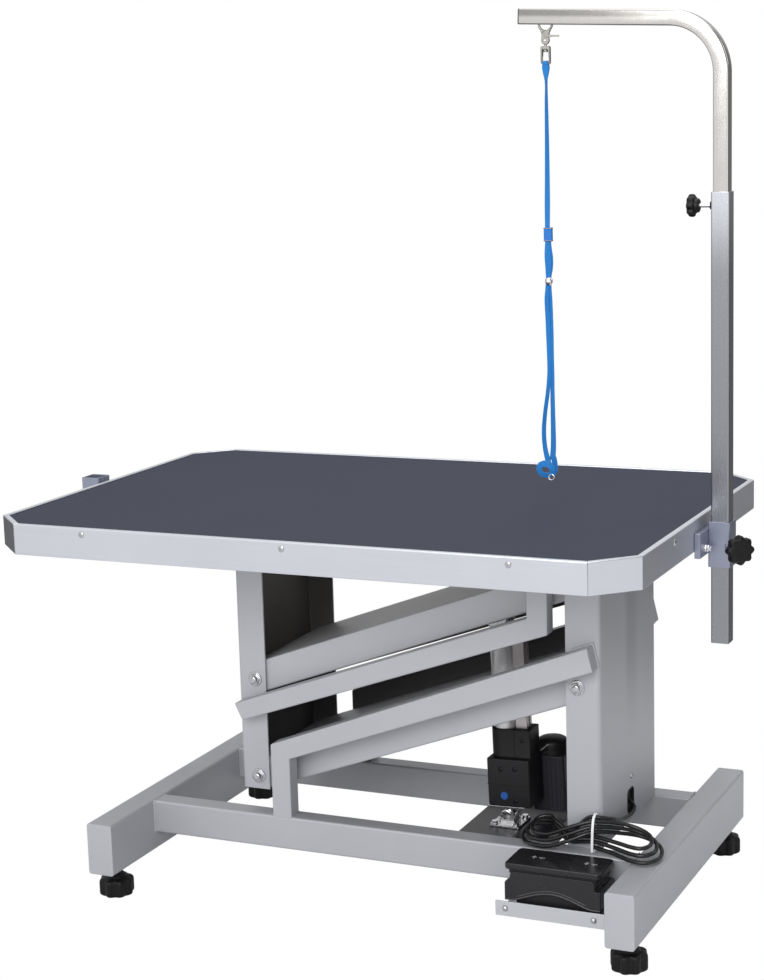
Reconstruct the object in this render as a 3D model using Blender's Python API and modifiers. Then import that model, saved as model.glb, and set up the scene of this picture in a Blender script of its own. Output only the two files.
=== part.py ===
"""Electric pet grooming table: cross-foot base, parallelogram lift with a linear actuator,
rubber-topped table, foot switch, and a square-tube grooming arm with a noose.

Metres, +Z up. X runs along the table to the right, Y to its rear, the floor is Z = 0.
Sizes are measured from the middle of the table, which is near the bottom of its travel.
A span is a pair (low, high). Pairs named "from the middle" are distances used front and rear.
"""

import math
from collections import namedtuple

import bmesh
import bpy
from mathutils import Matrix, Vector

for old in list(bpy.data.objects):
    bpy.data.objects.remove(old, do_unlink=True)

piece_coll = bpy.data.collections.new("grooming_table")
bpy.context.scene.collection.children.link(piece_coll)
cutter_coll = bpy.data.collections.new("cutters")
bpy.context.scene.collection.children.link(cutter_coll)

# ---------------------------------------------------------------- shared sizes
GAP = 0.0003                      # gap between pieces that touch
SIDES = (("front", -1), ("rear", 1))

TABLE_LENGTH = 1.100
TABLE_WIDTH = 0.759
TABLE_CHAMFER = 0.0624
TABLE_RIM_Z = 0.6564
APRON_BOTTOM_Z = 0.6061
APRON_THICK = 0.0030
BOARD_BOTTOM_Z = 0.6342
BOARD_TOP_Z = 0.6502
MAT_TOP_Z = 0.6545
END_X = TABLE_LENGTH / 2

FOOT_X_LEFT = (-0.4220, -0.3744)
FOOT_X_RIGHT = (0.4859, 0.5335)
FOOT_HALF_Y = 0.3169
FOOT_Z = (0.0480, 0.1367)
FRAME_WALL = 0.0025
FOOT_STUD_R = 0.0055
KNOB_Y = 0.270
FEET = {                          # levelling feet: X, Y
    side + "_" + end: (sum(span) / 2, sign * KNOB_Y)
    for side, sign in SIDES
    for end, span in (("left", FOOT_X_LEFT), ("right", FOOT_X_RIGHT))
}
RAIL_Y = (0.1380, 0.1760)         # from the middle
RAIL_Z = (0.0797, FOOT_Z[1])

# The pivots of the lift stand on a parallelogram; each is (X, Z)
ARM_SPAN = (0.5759, 0.2088)       # from a left pivot to the right one on the same arm
PIVOT_RISE = 0.1697               # from a lower pivot to the upper one on the same column
PIVOT_L0 = (-0.1880, 0.1896)
PIVOT_L1 = (PIVOT_L0[0], PIVOT_L0[1] + PIVOT_RISE)
PIVOT_R0 = (PIVOT_L0[0] + ARM_SPAN[0], PIVOT_L0[1] + ARM_SPAN[1])
PIVOT_R1 = (PIVOT_R0[0], PIVOT_R0[1] + PIVOT_RISE)
ARM_ANGLE = math.atan2(ARM_SPAN[1], ARM_SPAN[0])
ARM_LEN = math.hypot(*ARM_SPAN)
ARM_R = 0.0260                    # half the depth of an arm
ARM_HALF_Y = 0.1305
ARM_WALL = 0.0035
BOLT_R = 0.0060
BOLT_HOLE_R = BOLT_R + GAP

LEFT_COL_X = (-0.2187, -0.1680)
LEFT_COL_HALF_Y = 0.1360
LEFT_COL_Z = (0.1664, BOARD_BOTTOM_Z - GAP)
RIGHT_COL_X = (0.3690, 0.4260)
RIGHT_COL_HALF_Y = 0.1460
RIGHT_COL_Z = (RAIL_Z[1] + GAP, 0.5920)
COL_WALL = 0.0040
BRACE_WALL = 0.0025

ACT_BASE = (0.2151, 0.1280)       # actuator lower pin (X, Z)
ACT_TOP = (0.2051, 0.4700)        # actuator upper pin (X, Z)
ACT_TILT = math.atan2(ACT_TOP[0] - ACT_BASE[0], ACT_TOP[1] - ACT_BASE[1])
ACT_LEN = math.hypot(ACT_TOP[0] - ACT_BASE[0], ACT_TOP[1] - ACT_BASE[1])
ACT_PIN_R = 0.0050
ACT_PIN_HOLE_R = ACT_PIN_R + GAP

# ---------------------------------------------------------------- finishes
Finish = namedtuple("Finish", "color roughness metallic", defaults=(0.0,))

BLACK_COLOR = (0.015, 0.015, 0.017)
STEEL_COLOR = (0.62, 0.62, 0.63)
ZINC_COLOR = (0.55, 0.55, 0.56)

PAINT = Finish(color=(0.36, 0.37, 0.40), roughness=0.45)
PLATE_PAINT = Finish(color=(0.03, 0.03, 0.035), roughness=0.5)
BLACK_MATT = Finish(color=BLACK_COLOR, roughness=0.5)
BLACK_SATIN = Finish(color=BLACK_COLOR, roughness=0.4)
BLACK_SHEEN = Finish(color=BLACK_COLOR, roughness=0.35)
STEEL = Finish(color=STEEL_COLOR, roughness=0.2, metallic=1.0)
ROD_STEEL = Finish(color=STEEL_COLOR, roughness=0.15, metallic=1.0)
CLEVIS_METAL = Finish(color=ZINC_COLOR, roughness=0.25, metallic=1.0)
TUBE_METAL = Finish(color=ZINC_COLOR, roughness=0.35, metallic=1.0)
MOUNT_METAL = Finish(color=(0.6, 0.6, 0.62), roughness=0.35, metallic=1.0)
PROFILE_METAL = Finish(color=(0.6, 0.58, 0.59), roughness=0.35, metallic=1.0)
TRAY_METAL = Finish(color=(0.45, 0.46, 0.48), roughness=0.4, metallic=0.3)
BOARD = Finish(color=(0.20, 0.15, 0.10), roughness=0.7)
RUBBER = Finish(color=(0.075, 0.08, 0.11), roughness=0.8)
APRON_METAL = Finish(color=(0.62, 0.63, 0.66), roughness=0.3, metallic=0.9)
SOCKET_METAL = Finish(color=(0.42, 0.43, 0.46), roughness=0.3, metallic=0.9)
POLE_METAL = Finish(color=(0.55, 0.55, 0.55), roughness=0.25, metallic=1.0)
SLIDING_METAL = Finish(color=(0.7, 0.7, 0.7), roughness=0.15, metallic=1.0)
STRAP_BLUE = Finish(color=(0.03, 0.22, 0.62), roughness=0.6)
PLASTIC_BLUE = Finish(color=(0.05, 0.30, 0.75), roughness=0.4)


def material(name, finish):
    mat = bpy.data.materials.new(name)
    mat.use_nodes = True
    shader = mat.node_tree.nodes["Principled BSDF"]
    shader.inputs["Base Color"].default_value = (*finish.color, 1.0)
    shader.inputs["Roughness"].default_value = finish.roughness
    shader.inputs["Metallic"].default_value = finish.metallic
    mat.diffuse_color = (*finish.color, 1.0)
    return mat


# ---------------------------------------------------------------- objects and booleans
def piece(name, mesh, finish, smooth=None):
    """A finished piece with its own material; smooth is the sharp-edge angle in degrees."""
    obj = bpy.data.objects.new(name, mesh)
    mesh.name = name
    mesh.materials.clear()
    mesh.materials.append(material(name + "_mat", finish))
    piece_coll.objects.link(obj)
    if smooth:
        for polygon in mesh.polygons:
            polygon.use_smooth = True
        mesh.set_sharp_from_angle(angle=math.radians(smooth))
    return obj


def carry(obj, frame):
    """Place an object that was drawn in a frame of its own."""
    obj.location = frame.translation
    obj.rotation_euler = frame.to_euler()
    return obj


def boolean(obj, mesh, operation, frame):
    helper = bpy.data.objects.new("cut_%03d" % (len(cutter_coll.objects) + 1), mesh)
    if frame is not None:
        carry(helper, frame)
    cutter_coll.objects.link(helper)
    helper.hide_render = True
    helper.display_type = "WIRE"
    modifier = obj.modifiers.new("bool", "BOOLEAN")
    modifier.operation = operation
    modifier.solver = "EXACT"
    modifier.object = helper


def cut(obj, mesh, frame=None):
    boolean(obj, mesh, "DIFFERENCE", frame)


def join(obj, mesh, frame=None):
    boolean(obj, mesh, "UNION", frame)


# ---------------------------------------------------------------- meshes
def tidy(mesh):
    bm = bmesh.new()
    bm.from_mesh(mesh)
    bmesh.ops.remove_doubles(bm, verts=bm.verts, dist=1e-5)
    bmesh.ops.recalc_face_normals(bm, faces=bm.faces)
    bm.to_mesh(mesh)
    bm.free()
    return mesh


def transformed(mesh, matrix):
    mesh.transform(matrix)
    return mesh


def add_polyline(curve, points, cyclic):
    spline = curve.splines.new("POLY")
    spline.points.add(len(points) - 1)
    for target, point in zip(spline.points, points):
        target.co = (*point, 1.0)
    spline.use_cyclic_u = cyclic


def curve_mesh(curve):
    """Mesh of a curve, made through an object that is removed again."""
    carrier = bpy.data.objects.new("curve_tmp", curve)
    bpy.context.scene.collection.objects.link(carrier)
    bpy.context.view_layer.update()
    mesh = bpy.data.meshes.new_from_object(carrier)
    bpy.data.objects.remove(carrier, do_unlink=True)
    return mesh


def outline(loops, depth, frame):
    """A flat outline (outer loop, then hole loops) thickened by depth and carried by frame."""
    curve = bpy.data.curves.new("outline", "CURVE")
    curve.dimensions = "2D"
    curve.fill_mode = "BOTH"
    curve.extrude = depth / 2
    curve.render_resolution_u = 0
    for loop in loops:
        add_polyline(curve, [(x, y, 0.0) for x, y in loop], True)
    return tidy(transformed(curve_mesh(curve), frame))


def in_xz(loops, y0, y1):
    """Outline drawn in X, Z and thickened from y0 to y1."""
    turn = Matrix.Rotation(math.radians(90), 4, "X")
    return outline(loops, y1 - y0, Matrix.Translation((0, (y0 + y1) / 2, 0)) @ turn)


def in_yz(loops, x0, x1):
    """Outline drawn in Y, Z and thickened from x0 to x1."""
    turn = Matrix(((0, 0, 1, 0), (1, 0, 0, 0), (0, 1, 0, 0), (0, 0, 0, 1)))
    return outline(loops, x1 - x0, Matrix.Translation(((x0 + x1) / 2, 0, 0)) @ turn)


def in_xy(loops, z0, z1):
    """Outline drawn in X, Y and thickened from z0 to z1."""
    return outline(loops, z1 - z0, Matrix.Translation((0, 0, (z0 + z1) / 2)))


def arc(cx, cy, radius, start, end, steps):
    """Points from start to end, in degrees, both ends included."""
    angles = [math.radians(start + (end - start) * i / steps) for i in range(steps + 1)]
    return [(cx + radius * math.cos(a), cy + radius * math.sin(a)) for a in angles]


def circle(cx, cy, radius, steps):
    return arc(cx, cy, radius, 0, 360, steps)[:-1]


def rect(x0, x1, y0, y1, radius=0.0, steps=3):
    if radius <= 0:
        return [(x0, y0), (x1, y0), (x1, y1), (x0, y1)]
    return (arc(x1 - radius, y0 + radius, radius, -90, 0, steps)
            + arc(x1 - radius, y1 - radius, radius, 0, 90, steps)
            + arc(x0 + radius, y1 - radius, radius, 90, 180, steps)
            + arc(x0 + radius, y0 + radius, radius, 180, 270, steps))


def lobed(radius, lobe, cx=0.0, cy=0.0):
    """Circle with eight lobes, for the rim of a knob."""
    points = []
    for i in range(48):
        angle = 2 * math.pi * i / 48
        reach = radius + lobe * math.cos(8 * angle)
        points.append((cx + reach * math.cos(angle), cy + reach * math.sin(angle)))
    return points


def side_span(distances, sign, middle=0.0):
    """Span on one side of middle, low end first."""
    return sorted(middle + sign * distance for distance in distances)


def box(x0, x1, y0, y1, z0, z1):
    mesh = bpy.data.meshes.new("box")
    bm = bmesh.new()
    centre = Matrix.Translation(((x0 + x1) / 2, (y0 + y1) / 2, (z0 + z1) / 2))
    bmesh.ops.create_cube(bm, size=1.0, matrix=centre @ Matrix.Diagonal(
        (x1 - x0, y1 - y0, z1 - z0, 1)))
    bm.to_mesh(mesh)
    bm.free()
    return mesh


# Each turns local +Z onto the named axis
TURN = {"Z": Matrix.Identity(4), "Y": Matrix.Rotation(math.radians(-90), 4, "X"),
        "X": Matrix.Rotation(math.radians(90), 4, "Y")}


def cylinder(radius, low, high, centre, axis, segments, top_radius=None):
    """Round bar from low to high along axis; centre gives the other two coordinates in order."""
    mesh = bpy.data.meshes.new("cyl")
    bm = bmesh.new()
    bmesh.ops.create_cone(bm, cap_ends=True, segments=segments, radius1=radius,
                          radius2=radius if top_radius is None else top_radius,
                          depth=high - low)
    bm.to_mesh(mesh)
    bm.free()
    place = list(centre)
    place.insert("XYZ".index(axis), (low + high) / 2)
    return transformed(mesh, Matrix.Translation(place) @ TURN[axis])


def turned(profile, steps, frame=Matrix.Identity(4)):
    """Profile (radius, height) turned about Z by a Screw modifier, then carried by frame."""
    mesh = bpy.data.meshes.new("profile")
    bm = bmesh.new()
    verts = [bm.verts.new((radius, 0, z)) for radius, z in profile]
    for pair in zip(verts, verts[1:]):
        bm.edges.new(pair)
    bm.to_mesh(mesh)
    bm.free()
    carrier = bpy.data.objects.new("turned", mesh)
    bpy.context.scene.collection.objects.link(carrier)
    screw = carrier.modifiers.new("turn", "SCREW")
    screw.steps = screw.render_steps = steps
    screw.use_merge_vertices = True
    screw.merge_threshold = 0.00005
    bpy.context.view_layer.update()
    depsgraph = bpy.context.evaluated_depsgraph_get()
    result = bpy.data.meshes.new_from_object(carrier.evaluated_get(depsgraph))
    bpy.data.objects.remove(carrier, do_unlink=True)
    return tidy(transformed(result, frame))


def wire(points, radius, cyclic=False):
    """Round wire along a polyline."""
    curve = bpy.data.curves.new("wire", "CURVE")
    curve.dimensions = "3D"
    curve.bevel_depth = radius
    curve.bevel_resolution = 1
    curve.use_fill_caps = True
    curve.render_resolution_u = 0
    add_polyline(curve, points, cyclic)
    return tidy(curve_mesh(curve))


def pin_profile(radius, half, head_radius, head_height):
    """Pin with a flat head at both ends."""
    end = half + head_height
    return [(0.0, end), (head_radius, end), (head_radius, half), (radius, half),
            (radius, -half), (head_radius, -half), (head_radius, -end), (0.0, -end)]


def sloped(x_start, z_start, slope):
    """Height of a sloping edge as a function of X."""
    return lambda x: z_start + slope * (x - x_start)


# ---------------------------------------------------------------- base
PLATE_X = (0.148, 0.300)
PLATE_Z = (0.082, 0.108)
PLATE_THICK = 0.005
CLEVIS_HALF = (0.026, 0.0300)     # half sizes of its foot plate in X, Y
CLEVIS_EAR_R = 0.013
CLEVIS_EAR_Y = (0.0108, 0.0158)   # from the middle
RIGHT_COL_R = 0.010               # outer corner radius
RIGHT_COL_SLOT = (-0.014, 0.022, 0.150, 0.192)    # Y span, Z span


def cross_feet():
    wall = FRAME_WALL
    for side, (x0, x1) in (("left", FOOT_X_LEFT), ("right", FOOT_X_RIGHT)):
        foot = piece(side + "_cross_foot",
                     in_xz([rect(x0, x1, *FOOT_Z, 0.005, 2)], -FOOT_HALF_Y, FOOT_HALF_Y),
                     PAINT, 40)
        cut(foot, box(x0 + wall, x1 - wall, -FOOT_HALF_Y + wall, FOOT_HALF_Y - wall,
                      FOOT_Z[0] + wall, FOOT_Z[1] - wall))
        for _, sign in SIDES:
            cut(foot, cylinder(FOOT_STUD_R + GAP, FOOT_Z[0] - 0.01, FOOT_Z[0] + 0.02,
                               ((x0 + x1) / 2, sign * KNOB_Y), "Z", 20))


def rails():
    wall = FRAME_WALL
    for side, sign in SIDES:
        y0, y1 = side_span(RAIL_Y, sign)
        section = [rect(y0, y1, *RAIL_Z, 0.004, 2),
                   rect(y0 + wall, y1 - wall, RAIL_Z[0] + wall, RAIL_Z[1] - wall)]
        piece(side + "_rail", in_yz(section, FOOT_X_LEFT[1] + GAP, FOOT_X_RIGHT[0] - GAP),
              PAINT, 40)


def base_plate():
    """Cross member in the shape of an upside-down U that carries the actuator."""
    x0, x1 = PLATE_X
    bottom, top = PLATE_Z
    thick = PLATE_THICK
    section = [(x0, top), (x0, bottom), (x0 + thick, bottom), (x0 + thick, top - thick),
               (x1 - thick, top - thick), (x1 - thick, bottom), (x1, bottom), (x1, top)]
    piece("base_plate", in_xz([section], -RAIL_Y[0] + GAP, RAIL_Y[0] - GAP), PLATE_PAINT)


def actuator_clevis():
    """Foot plate on the cross member with two ears and the pin through them."""
    x, z = ACT_BASE
    half_x, half_y = CLEVIS_HALF
    top = PLATE_Z[1]
    clevis = piece("actuator_clevis",
                   box(x - half_x, x + half_x, -half_y, half_y, top + GAP, top + 0.004),
                   CLEVIS_METAL)
    ear = ([(x - CLEVIS_EAR_R, top + 0.002), (x + CLEVIS_EAR_R, top + 0.002)]
           + arc(x, z, CLEVIS_EAR_R, 0, 180, 10))
    for _, sign in SIDES:
        join(clevis, in_xz([ear], *side_span(CLEVIS_EAR_Y, sign)))
    cut(clevis, cylinder(ACT_PIN_HOLE_R, -0.04, 0.04, ACT_BASE, "Y", 20))
    piece("clevis_pin", turned(pin_profile(ACT_PIN_R, 0.0162, 0.0085, 0.005), 20,
                               Matrix.Translation((x, 0, z)) @ TURN["Y"]), STEEL, 40)


def pivot_holes(column, pivots):
    for pivot in pivots:
        cut(column, cylinder(BOLT_HOLE_R, -0.2, 0.2, pivot, "Y", 20))


def right_column():
    """Channel open to the left, standing on both rails, with a slot in its right face."""
    x0, x1 = RIGHT_COL_X
    edge = RIGHT_COL_HALF_Y
    radius = RIGHT_COL_R
    inner = radius - COL_WALL
    cx, cy = x1 - radius, edge - radius
    section = ([(x0, -edge)] + arc(cx, -cy, radius, -90, 0, 4) + arc(cx, cy, radius, 0, 90, 4)
               + [(x0, edge), (x0, edge - COL_WALL)]
               + arc(cx, cy, inner, 90, 0, 3) + arc(cx, -cy, inner, 0, -90, 3)
               + [(x0, -edge + COL_WALL)])
    column = piece("right_column", in_xy([section], *RIGHT_COL_Z), PAINT, 40)
    pivot_holes(column, (PIVOT_R0, PIVOT_R1))
    cut(column, in_yz([rect(*RIGHT_COL_SLOT, 0.008, 3)], x1 - 0.008, x1 + 0.008))


# Fixed braces: post on the rail, then a slope up to the right column
LOWER_POST_X = (-0.1435, -0.1085)
LOWER_END_X = (0.4145, 0.4235)    # right end of the top edge and of the bottom edge
LOWER_BRACE_Y = (RIGHT_COL_HALF_Y + GAP, RAIL_Y[1])    # from the middle
LOWER_CUT_END_X = 0.45            # past the open right end
LOWER_POST_TOP_WALL = BRACE_WALL * 1.2
lower_top = sloped(LOWER_POST_X[0], 0.2605, 0.379)
lower_bottom = sloped(LOWER_POST_X[1], 0.2378, 0.368)


def lower_braces():
    x0, x1 = LOWER_POST_X
    top_end, bottom_end = LOWER_END_X
    foot = RAIL_Z[1] + GAP
    wall = BRACE_WALL
    far = LOWER_CUT_END_X
    shape = [(x0, foot), (x1, foot), (x1, lower_bottom(x1)),
             (bottom_end, lower_bottom(bottom_end)), (top_end, lower_top(top_end)),
             (x0, lower_top(x0))]
    hollow = [(x0 + wall, foot - 0.01), (x1 - wall, foot - 0.01),
              (x1 - wall, lower_bottom(x1) + wall), (far, lower_bottom(far) + wall),
              (far, lower_top(far) - wall), (x0 + wall, lower_top(x0) - LOWER_POST_TOP_WALL)]
    for side, sign in SIDES:
        y0, y1 = side_span(LOWER_BRACE_Y, sign)
        brace = piece("lower_brace_" + side, in_xz([shape], y0, y1), PAINT)
        cut(brace, in_xz([hollow], y0 + wall, y1 - wall))


def levelling_feet():
    """Lobed knob, tapered collar and stud."""
    for name, (x, y) in FEET.items():
        knob = piece(name + "_foot", in_xy([lobed(0.0275, 0.0022, x, y)], 0.0, 0.030),
                     BLACK_MATT)
        join(knob, cylinder(0.0180, 0.029, 0.038, (x, y), "Z", 24, 0.013))
        join(knob, cylinder(FOOT_STUD_R, 0.036, 0.085, (x, y), "Z", 20))


# ---------------------------------------------------------------- foot switch
TRAY_X = (0.289, FOOT_X_RIGHT[0] - GAP)
TRAY_FRONT_Y = -0.2620
TRAY_REAR_Y = -RAIL_Y[1] - GAP
TRAY_WALL = 0.0025
TRAY_BOTTOM_Z = 0.0532
TRAY_FLOOR_Z = 0.0560
TRAY_FRONT_TOP_Z = 0.0775
TRAY_REAR_TOP_Z = 0.0800

PEDAL_AXIS = (0.3815, 0.1000)     # X, Z
PEDAL_MID_Y = -0.2215
PEDAL_PIN_R = 0.0030
PEDAL_PIN_HALF = 0.0319
PEDAL_OUTLINE = (0.3025, 0.4605, 0.0760, 0.1400)                # X span, Z span
PEDAL_Y = (-0.2580, -0.1850)
PEDAL_HOLLOW = (0.3060, 0.4570, -0.2540, -0.1890, 0.05, 0.1340)   # X, Y, Z spans
HOUSING = (0.3110, 0.4520, -0.2500, -0.1930, TRAY_FLOOR_Z + GAP, 0.1080)    # X, Y, Z spans
SKIRT_Z = 0.0790                  # lower edge of the pedal's long sides
HUMP_X = 0.3180
HUMP_LENGTH = 0.1200
HUMP_HEIGHT = 0.0170


def switch_tray():
    front, rear = TRAY_FRONT_Y, TRAY_REAR_Y
    section = [(rear, TRAY_REAR_TOP_Z), (rear - TRAY_WALL, TRAY_REAR_TOP_Z),
               (rear - TRAY_WALL, TRAY_FLOOR_Z), (front + TRAY_WALL, TRAY_FLOOR_Z),
               (front + TRAY_WALL, TRAY_FRONT_TOP_Z), (front, TRAY_FRONT_TOP_Z),
               (front, TRAY_BOTTOM_Z), (rear, TRAY_BOTTOM_Z)]
    piece("switch_tray", in_yz([section], *TRAY_X), TRAY_METAL)


def foot_pedal():
    """Housing with its pin, and the hollow pedal whose lower edge is arched."""
    housing = piece("pedal_housing", box(*HOUSING), BLACK_SHEEN)
    join(housing, cylinder(PEDAL_PIN_R, PEDAL_MID_Y - PEDAL_PIN_HALF,
                           PEDAL_MID_Y + PEDAL_PIN_HALF, PEDAL_AXIS, "Y", 16))
    pedal = piece("pedal", in_xz([rect(*PEDAL_OUTLINE, 0.006, 3)], *PEDAL_Y), BLACK_SHEEN, 40)
    cut(pedal, box(*PEDAL_HOLLOW))
    arch = [(0.29, 0.05), (0.29, SKIRT_Z), (0.3100, SKIRT_Z)]
    for i in range(13):
        part = i / 12
        arch.append((HUMP_X + HUMP_LENGTH * part,
                     SKIRT_Z + HUMP_HEIGHT * math.sin(math.pi * part) ** 1.3))
    arch += [(0.4500, SKIRT_Z), (0.475, SKIRT_Z), (0.475, 0.05)]
    cut(pedal, in_xz([arch], -0.27, -0.17))


# The two lobes of a cable turn and the tail up into the column: X, Y, Z of each point
CABLE_R = 0.0033
CABLE_TURNS = 3
TURN_SHRINK = 0.17                # each turn is this share of the first one tighter
TURN_RISE = 0.0088
RIGHT_LOBE_CENTRE = (0.480, -0.1600)
RIGHT_LOBE = (
    (0.4180, -0.1600, 0.1450), (0.4520, -0.1735, 0.1440), (0.4900, -0.1960, 0.1440),
    (0.5160, -0.1960, 0.1440), (0.5290, -0.1680, 0.1450), (0.5170, -0.1330, 0.1500),
    (0.4850, -0.1180, 0.1560), (0.4500, -0.1350, 0.1640),
)
LEFT_LOBE_CENTRE = (0.345, -0.1560)
LEFT_LOBE = (
    (0.4180, -0.1650, 0.1712), (0.3850, -0.1780, 0.1590), (0.3480, -0.1800, 0.1450),
    (0.3120, -0.1730, 0.1440), (0.2950, -0.1500, 0.1480), (0.3020, -0.1230, 0.1560),
    (0.3320, -0.1180, 0.1600), (0.3540, -0.1420, 0.1560), (0.3780, -0.1540, 0.1480),
)
CABLE_TAIL = (
    (0.4080, -0.1560, 0.1940), (0.4300, -0.1525, 0.1975), (0.4410, -0.1300, 0.2000),
    (0.4380, -0.0900, 0.1930), (0.4370, -0.0500, 0.1840), (0.4370, -0.0200, 0.1780),
    (0.4330, -0.0020, 0.1760), (0.4230, 0.0030, 0.1760), (0.4080, 0.0040, 0.1760),
)


def cable_points():
    """Figure-of-eight turns lying over the rail and the switch, then the tail."""
    points = []
    for turn in range(CABLE_TURNS):
        tight = 1.0 - TURN_SHRINK * turn
        for (cx, cy), lobe in ((RIGHT_LOBE_CENTRE, RIGHT_LOBE), (LEFT_LOBE_CENTRE, LEFT_LOBE)):
            for i, (x, y, z) in enumerate(lobe):
                # the ends of a lobe keep their place, so that the lobes still meet
                if 1 < i < 7:
                    scale = tight
                elif i in (1, 7):
                    scale = (1.0 + tight) / 2
                else:
                    scale = 1.0
                points.append((cx + (x - cx) * scale, cy + (y - cy) * scale,
                               z + TURN_RISE * turn))
    return points + list(CABLE_TAIL)


def catmull_rom(points, steps):
    """Smooth curve through the points, with steps between neighbours."""
    ends = [points[0]] + list(points) + [points[-1]]
    curve = []
    for corners in zip(ends, ends[1:], ends[2:], ends[3:]):
        for j in range(steps):
            t = j / steps
            curve.append(tuple(
                0.5 * (2 * b + (c - a) * t + (2 * a - 5 * b + 4 * c - d) * t * t
                       + (3 * b - a - 3 * c + d) * t ** 3) for a, b, c, d in zip(*corners)))
    return curve + [points[-1]]


def switch_cable():
    piece("switch_cable", wire(catmull_rom(cable_points(), 3), CABLE_R), BLACK_SATIN, 50)


# ---------------------------------------------------------------- lift arms
SLOT_FROM_RIGHT = (0.256, 0.127)  # ends of the lower arm's slot, back from the right pivot
SLOT_HALF_Y = 0.030
LUG_PLATE_HALF = (0.034, 0.0290)  # half sizes along the arm and in Y
LUG_PLATE_THICK = 0.004
LUG_EAR_R = 0.021
LUG_EAR_Y = (0.0185, 0.0230)      # from the middle
LUG_HOLE_R = 0.0160


def arm_frame(pivot):
    """Local +X from the left pivot to the right pivot, local Z across the arm."""
    turn = Matrix.Rotation(-ARM_ANGLE, 4, "Y")
    return Matrix.Translation((pivot[0], 0, pivot[1])) @ turn


def lift_arm(name, pivot, slot):
    """Channel open downwards with rounded ends."""
    inner = ARM_R - ARM_WALL
    body = arc(0, 0, ARM_R, 90, 270, 12) + arc(ARM_LEN, 0, ARM_R, -90, 90, 12)
    hollow = ([(-inner, -0.06), (ARM_LEN + inner, -0.06)]
              + arc(ARM_LEN, 0, inner, 0, 90, 8) + arc(0, 0, inner, 90, 180, 8))
    frame = arm_frame(pivot)
    arm = carry(piece(name, in_xz([body], -ARM_HALF_Y, ARM_HALF_Y), PAINT, 30), frame)
    cut(arm, in_xz([hollow], -ARM_HALF_Y + ARM_WALL, ARM_HALF_Y - ARM_WALL), frame)
    for x in (0.0, ARM_LEN):
        cut(arm, cylinder(BOLT_HOLE_R, -0.2, 0.2, (x, 0), "Y", 20), frame)
    if slot:
        cut(arm, box(ARM_LEN - SLOT_FROM_RIGHT[0], ARM_LEN - SLOT_FROM_RIGHT[1],
                     -SLOT_HALF_Y, SLOT_HALF_Y, 0.01, 0.04), frame)


def actuator_lug():
    """Lug under the web of the upper arm, holding the top of the actuator."""
    frame = arm_frame(PIVOT_L1)
    x, _, z = frame.inverted() @ Vector((ACT_TOP[0], 0, ACT_TOP[1]))
    half_x, half_y = LUG_PLATE_HALF
    top = ARM_R - ARM_WALL - GAP
    plate = box(x - half_x, x + half_x, -half_y, half_y, top - LUG_PLATE_THICK, top)
    lug = carry(piece("actuator_lug", plate, PAINT), frame)
    ear = ([(x - LUG_EAR_R, top - 0.002)] + arc(x, z, LUG_EAR_R, 180, 360, 12)
           + [(x + LUG_EAR_R, top - 0.002)])
    for _, sign in SIDES:
        join(lug, in_xz([ear], *side_span(LUG_EAR_Y, sign)), frame)
    cut(lug, cylinder(LUG_HOLE_R, -0.05, 0.05, (x, z), "Y", 28), frame)


def pivot_bolt(name, pivot, sign, column_half):
    """Bolt along the outward normal: head outside the column flange, nut inside the arm.

    A collar fills the space between column and arm where it is wide enough.
    """
    nut_out = ARM_HALF_Y - ARM_WALL - GAP
    nut_in = ARM_HALF_Y - ARM_WALL - 0.0060
    flange = column_half - COL_WALL
    head = column_half + GAP
    profile = [(0.0, head + 0.0105), (0.0050, head + 0.0105), (0.0062, head + 0.0095),
               (0.0062, head + 0.0062), (0.0098, head + 0.0058), (0.0098, head + 0.0020),
               (0.0125, head + 0.0018), (0.0125, head), (BOLT_R, head), (BOLT_R, flange - GAP)]
    if flange - ARM_HALF_Y > 0.003:
        profile += [(0.0110, flange - GAP), (0.0110, ARM_HALF_Y + GAP),
                    (BOLT_R, ARM_HALF_Y + GAP)]
    profile += [(BOLT_R, nut_out), (0.0095, nut_out), (0.0095, nut_in), (0.0, nut_in)]
    frame = (Matrix.Translation((pivot[0], 0, pivot[1]))
             @ Matrix.Rotation(math.radians(-90 * sign), 4, "X"))
    piece(name, turned(profile, 18, frame), STEEL, 40)


def pivot_bolts():
    for place, pivot, half in (("left_lower", PIVOT_L0, LEFT_COL_HALF_Y),
                               ("left_upper", PIVOT_L1, LEFT_COL_HALF_Y),
                               ("right_lower", PIVOT_R0, RIGHT_COL_HALF_Y),
                               ("right_upper", PIVOT_R1, RIGHT_COL_HALF_Y)):
        for side, sign in SIDES:
            pivot_bolt(place + "_bolt_" + side, pivot, sign, half)


# ---------------------------------------------------------------- carriage
LEFT_COL_R = 0.0065               # outer corner radius


def left_column():
    """Channel open to the right, under the left part of the table."""
    x0, x1 = LEFT_COL_X
    edge = LEFT_COL_HALF_Y
    radius = LEFT_COL_R
    inner = radius - COL_WALL
    cx, cy = x0 + radius, edge - radius
    section = ([(x1, -edge), (x1, -edge + COL_WALL)]
               + arc(cx, -cy, inner, 270, 180, 3) + arc(cx, cy, inner, 180, 90, 3)
               + [(x1, edge - COL_WALL), (x1, edge)]
               + arc(cx, cy, radius, 90, 180, 4) + arc(cx, -cy, radius, 180, 270, 4))
    column = piece("left_column", in_xy([section], *LEFT_COL_Z), PAINT, 40)
    pivot_holes(column, (PIVOT_L0, PIVOT_L1))


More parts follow.
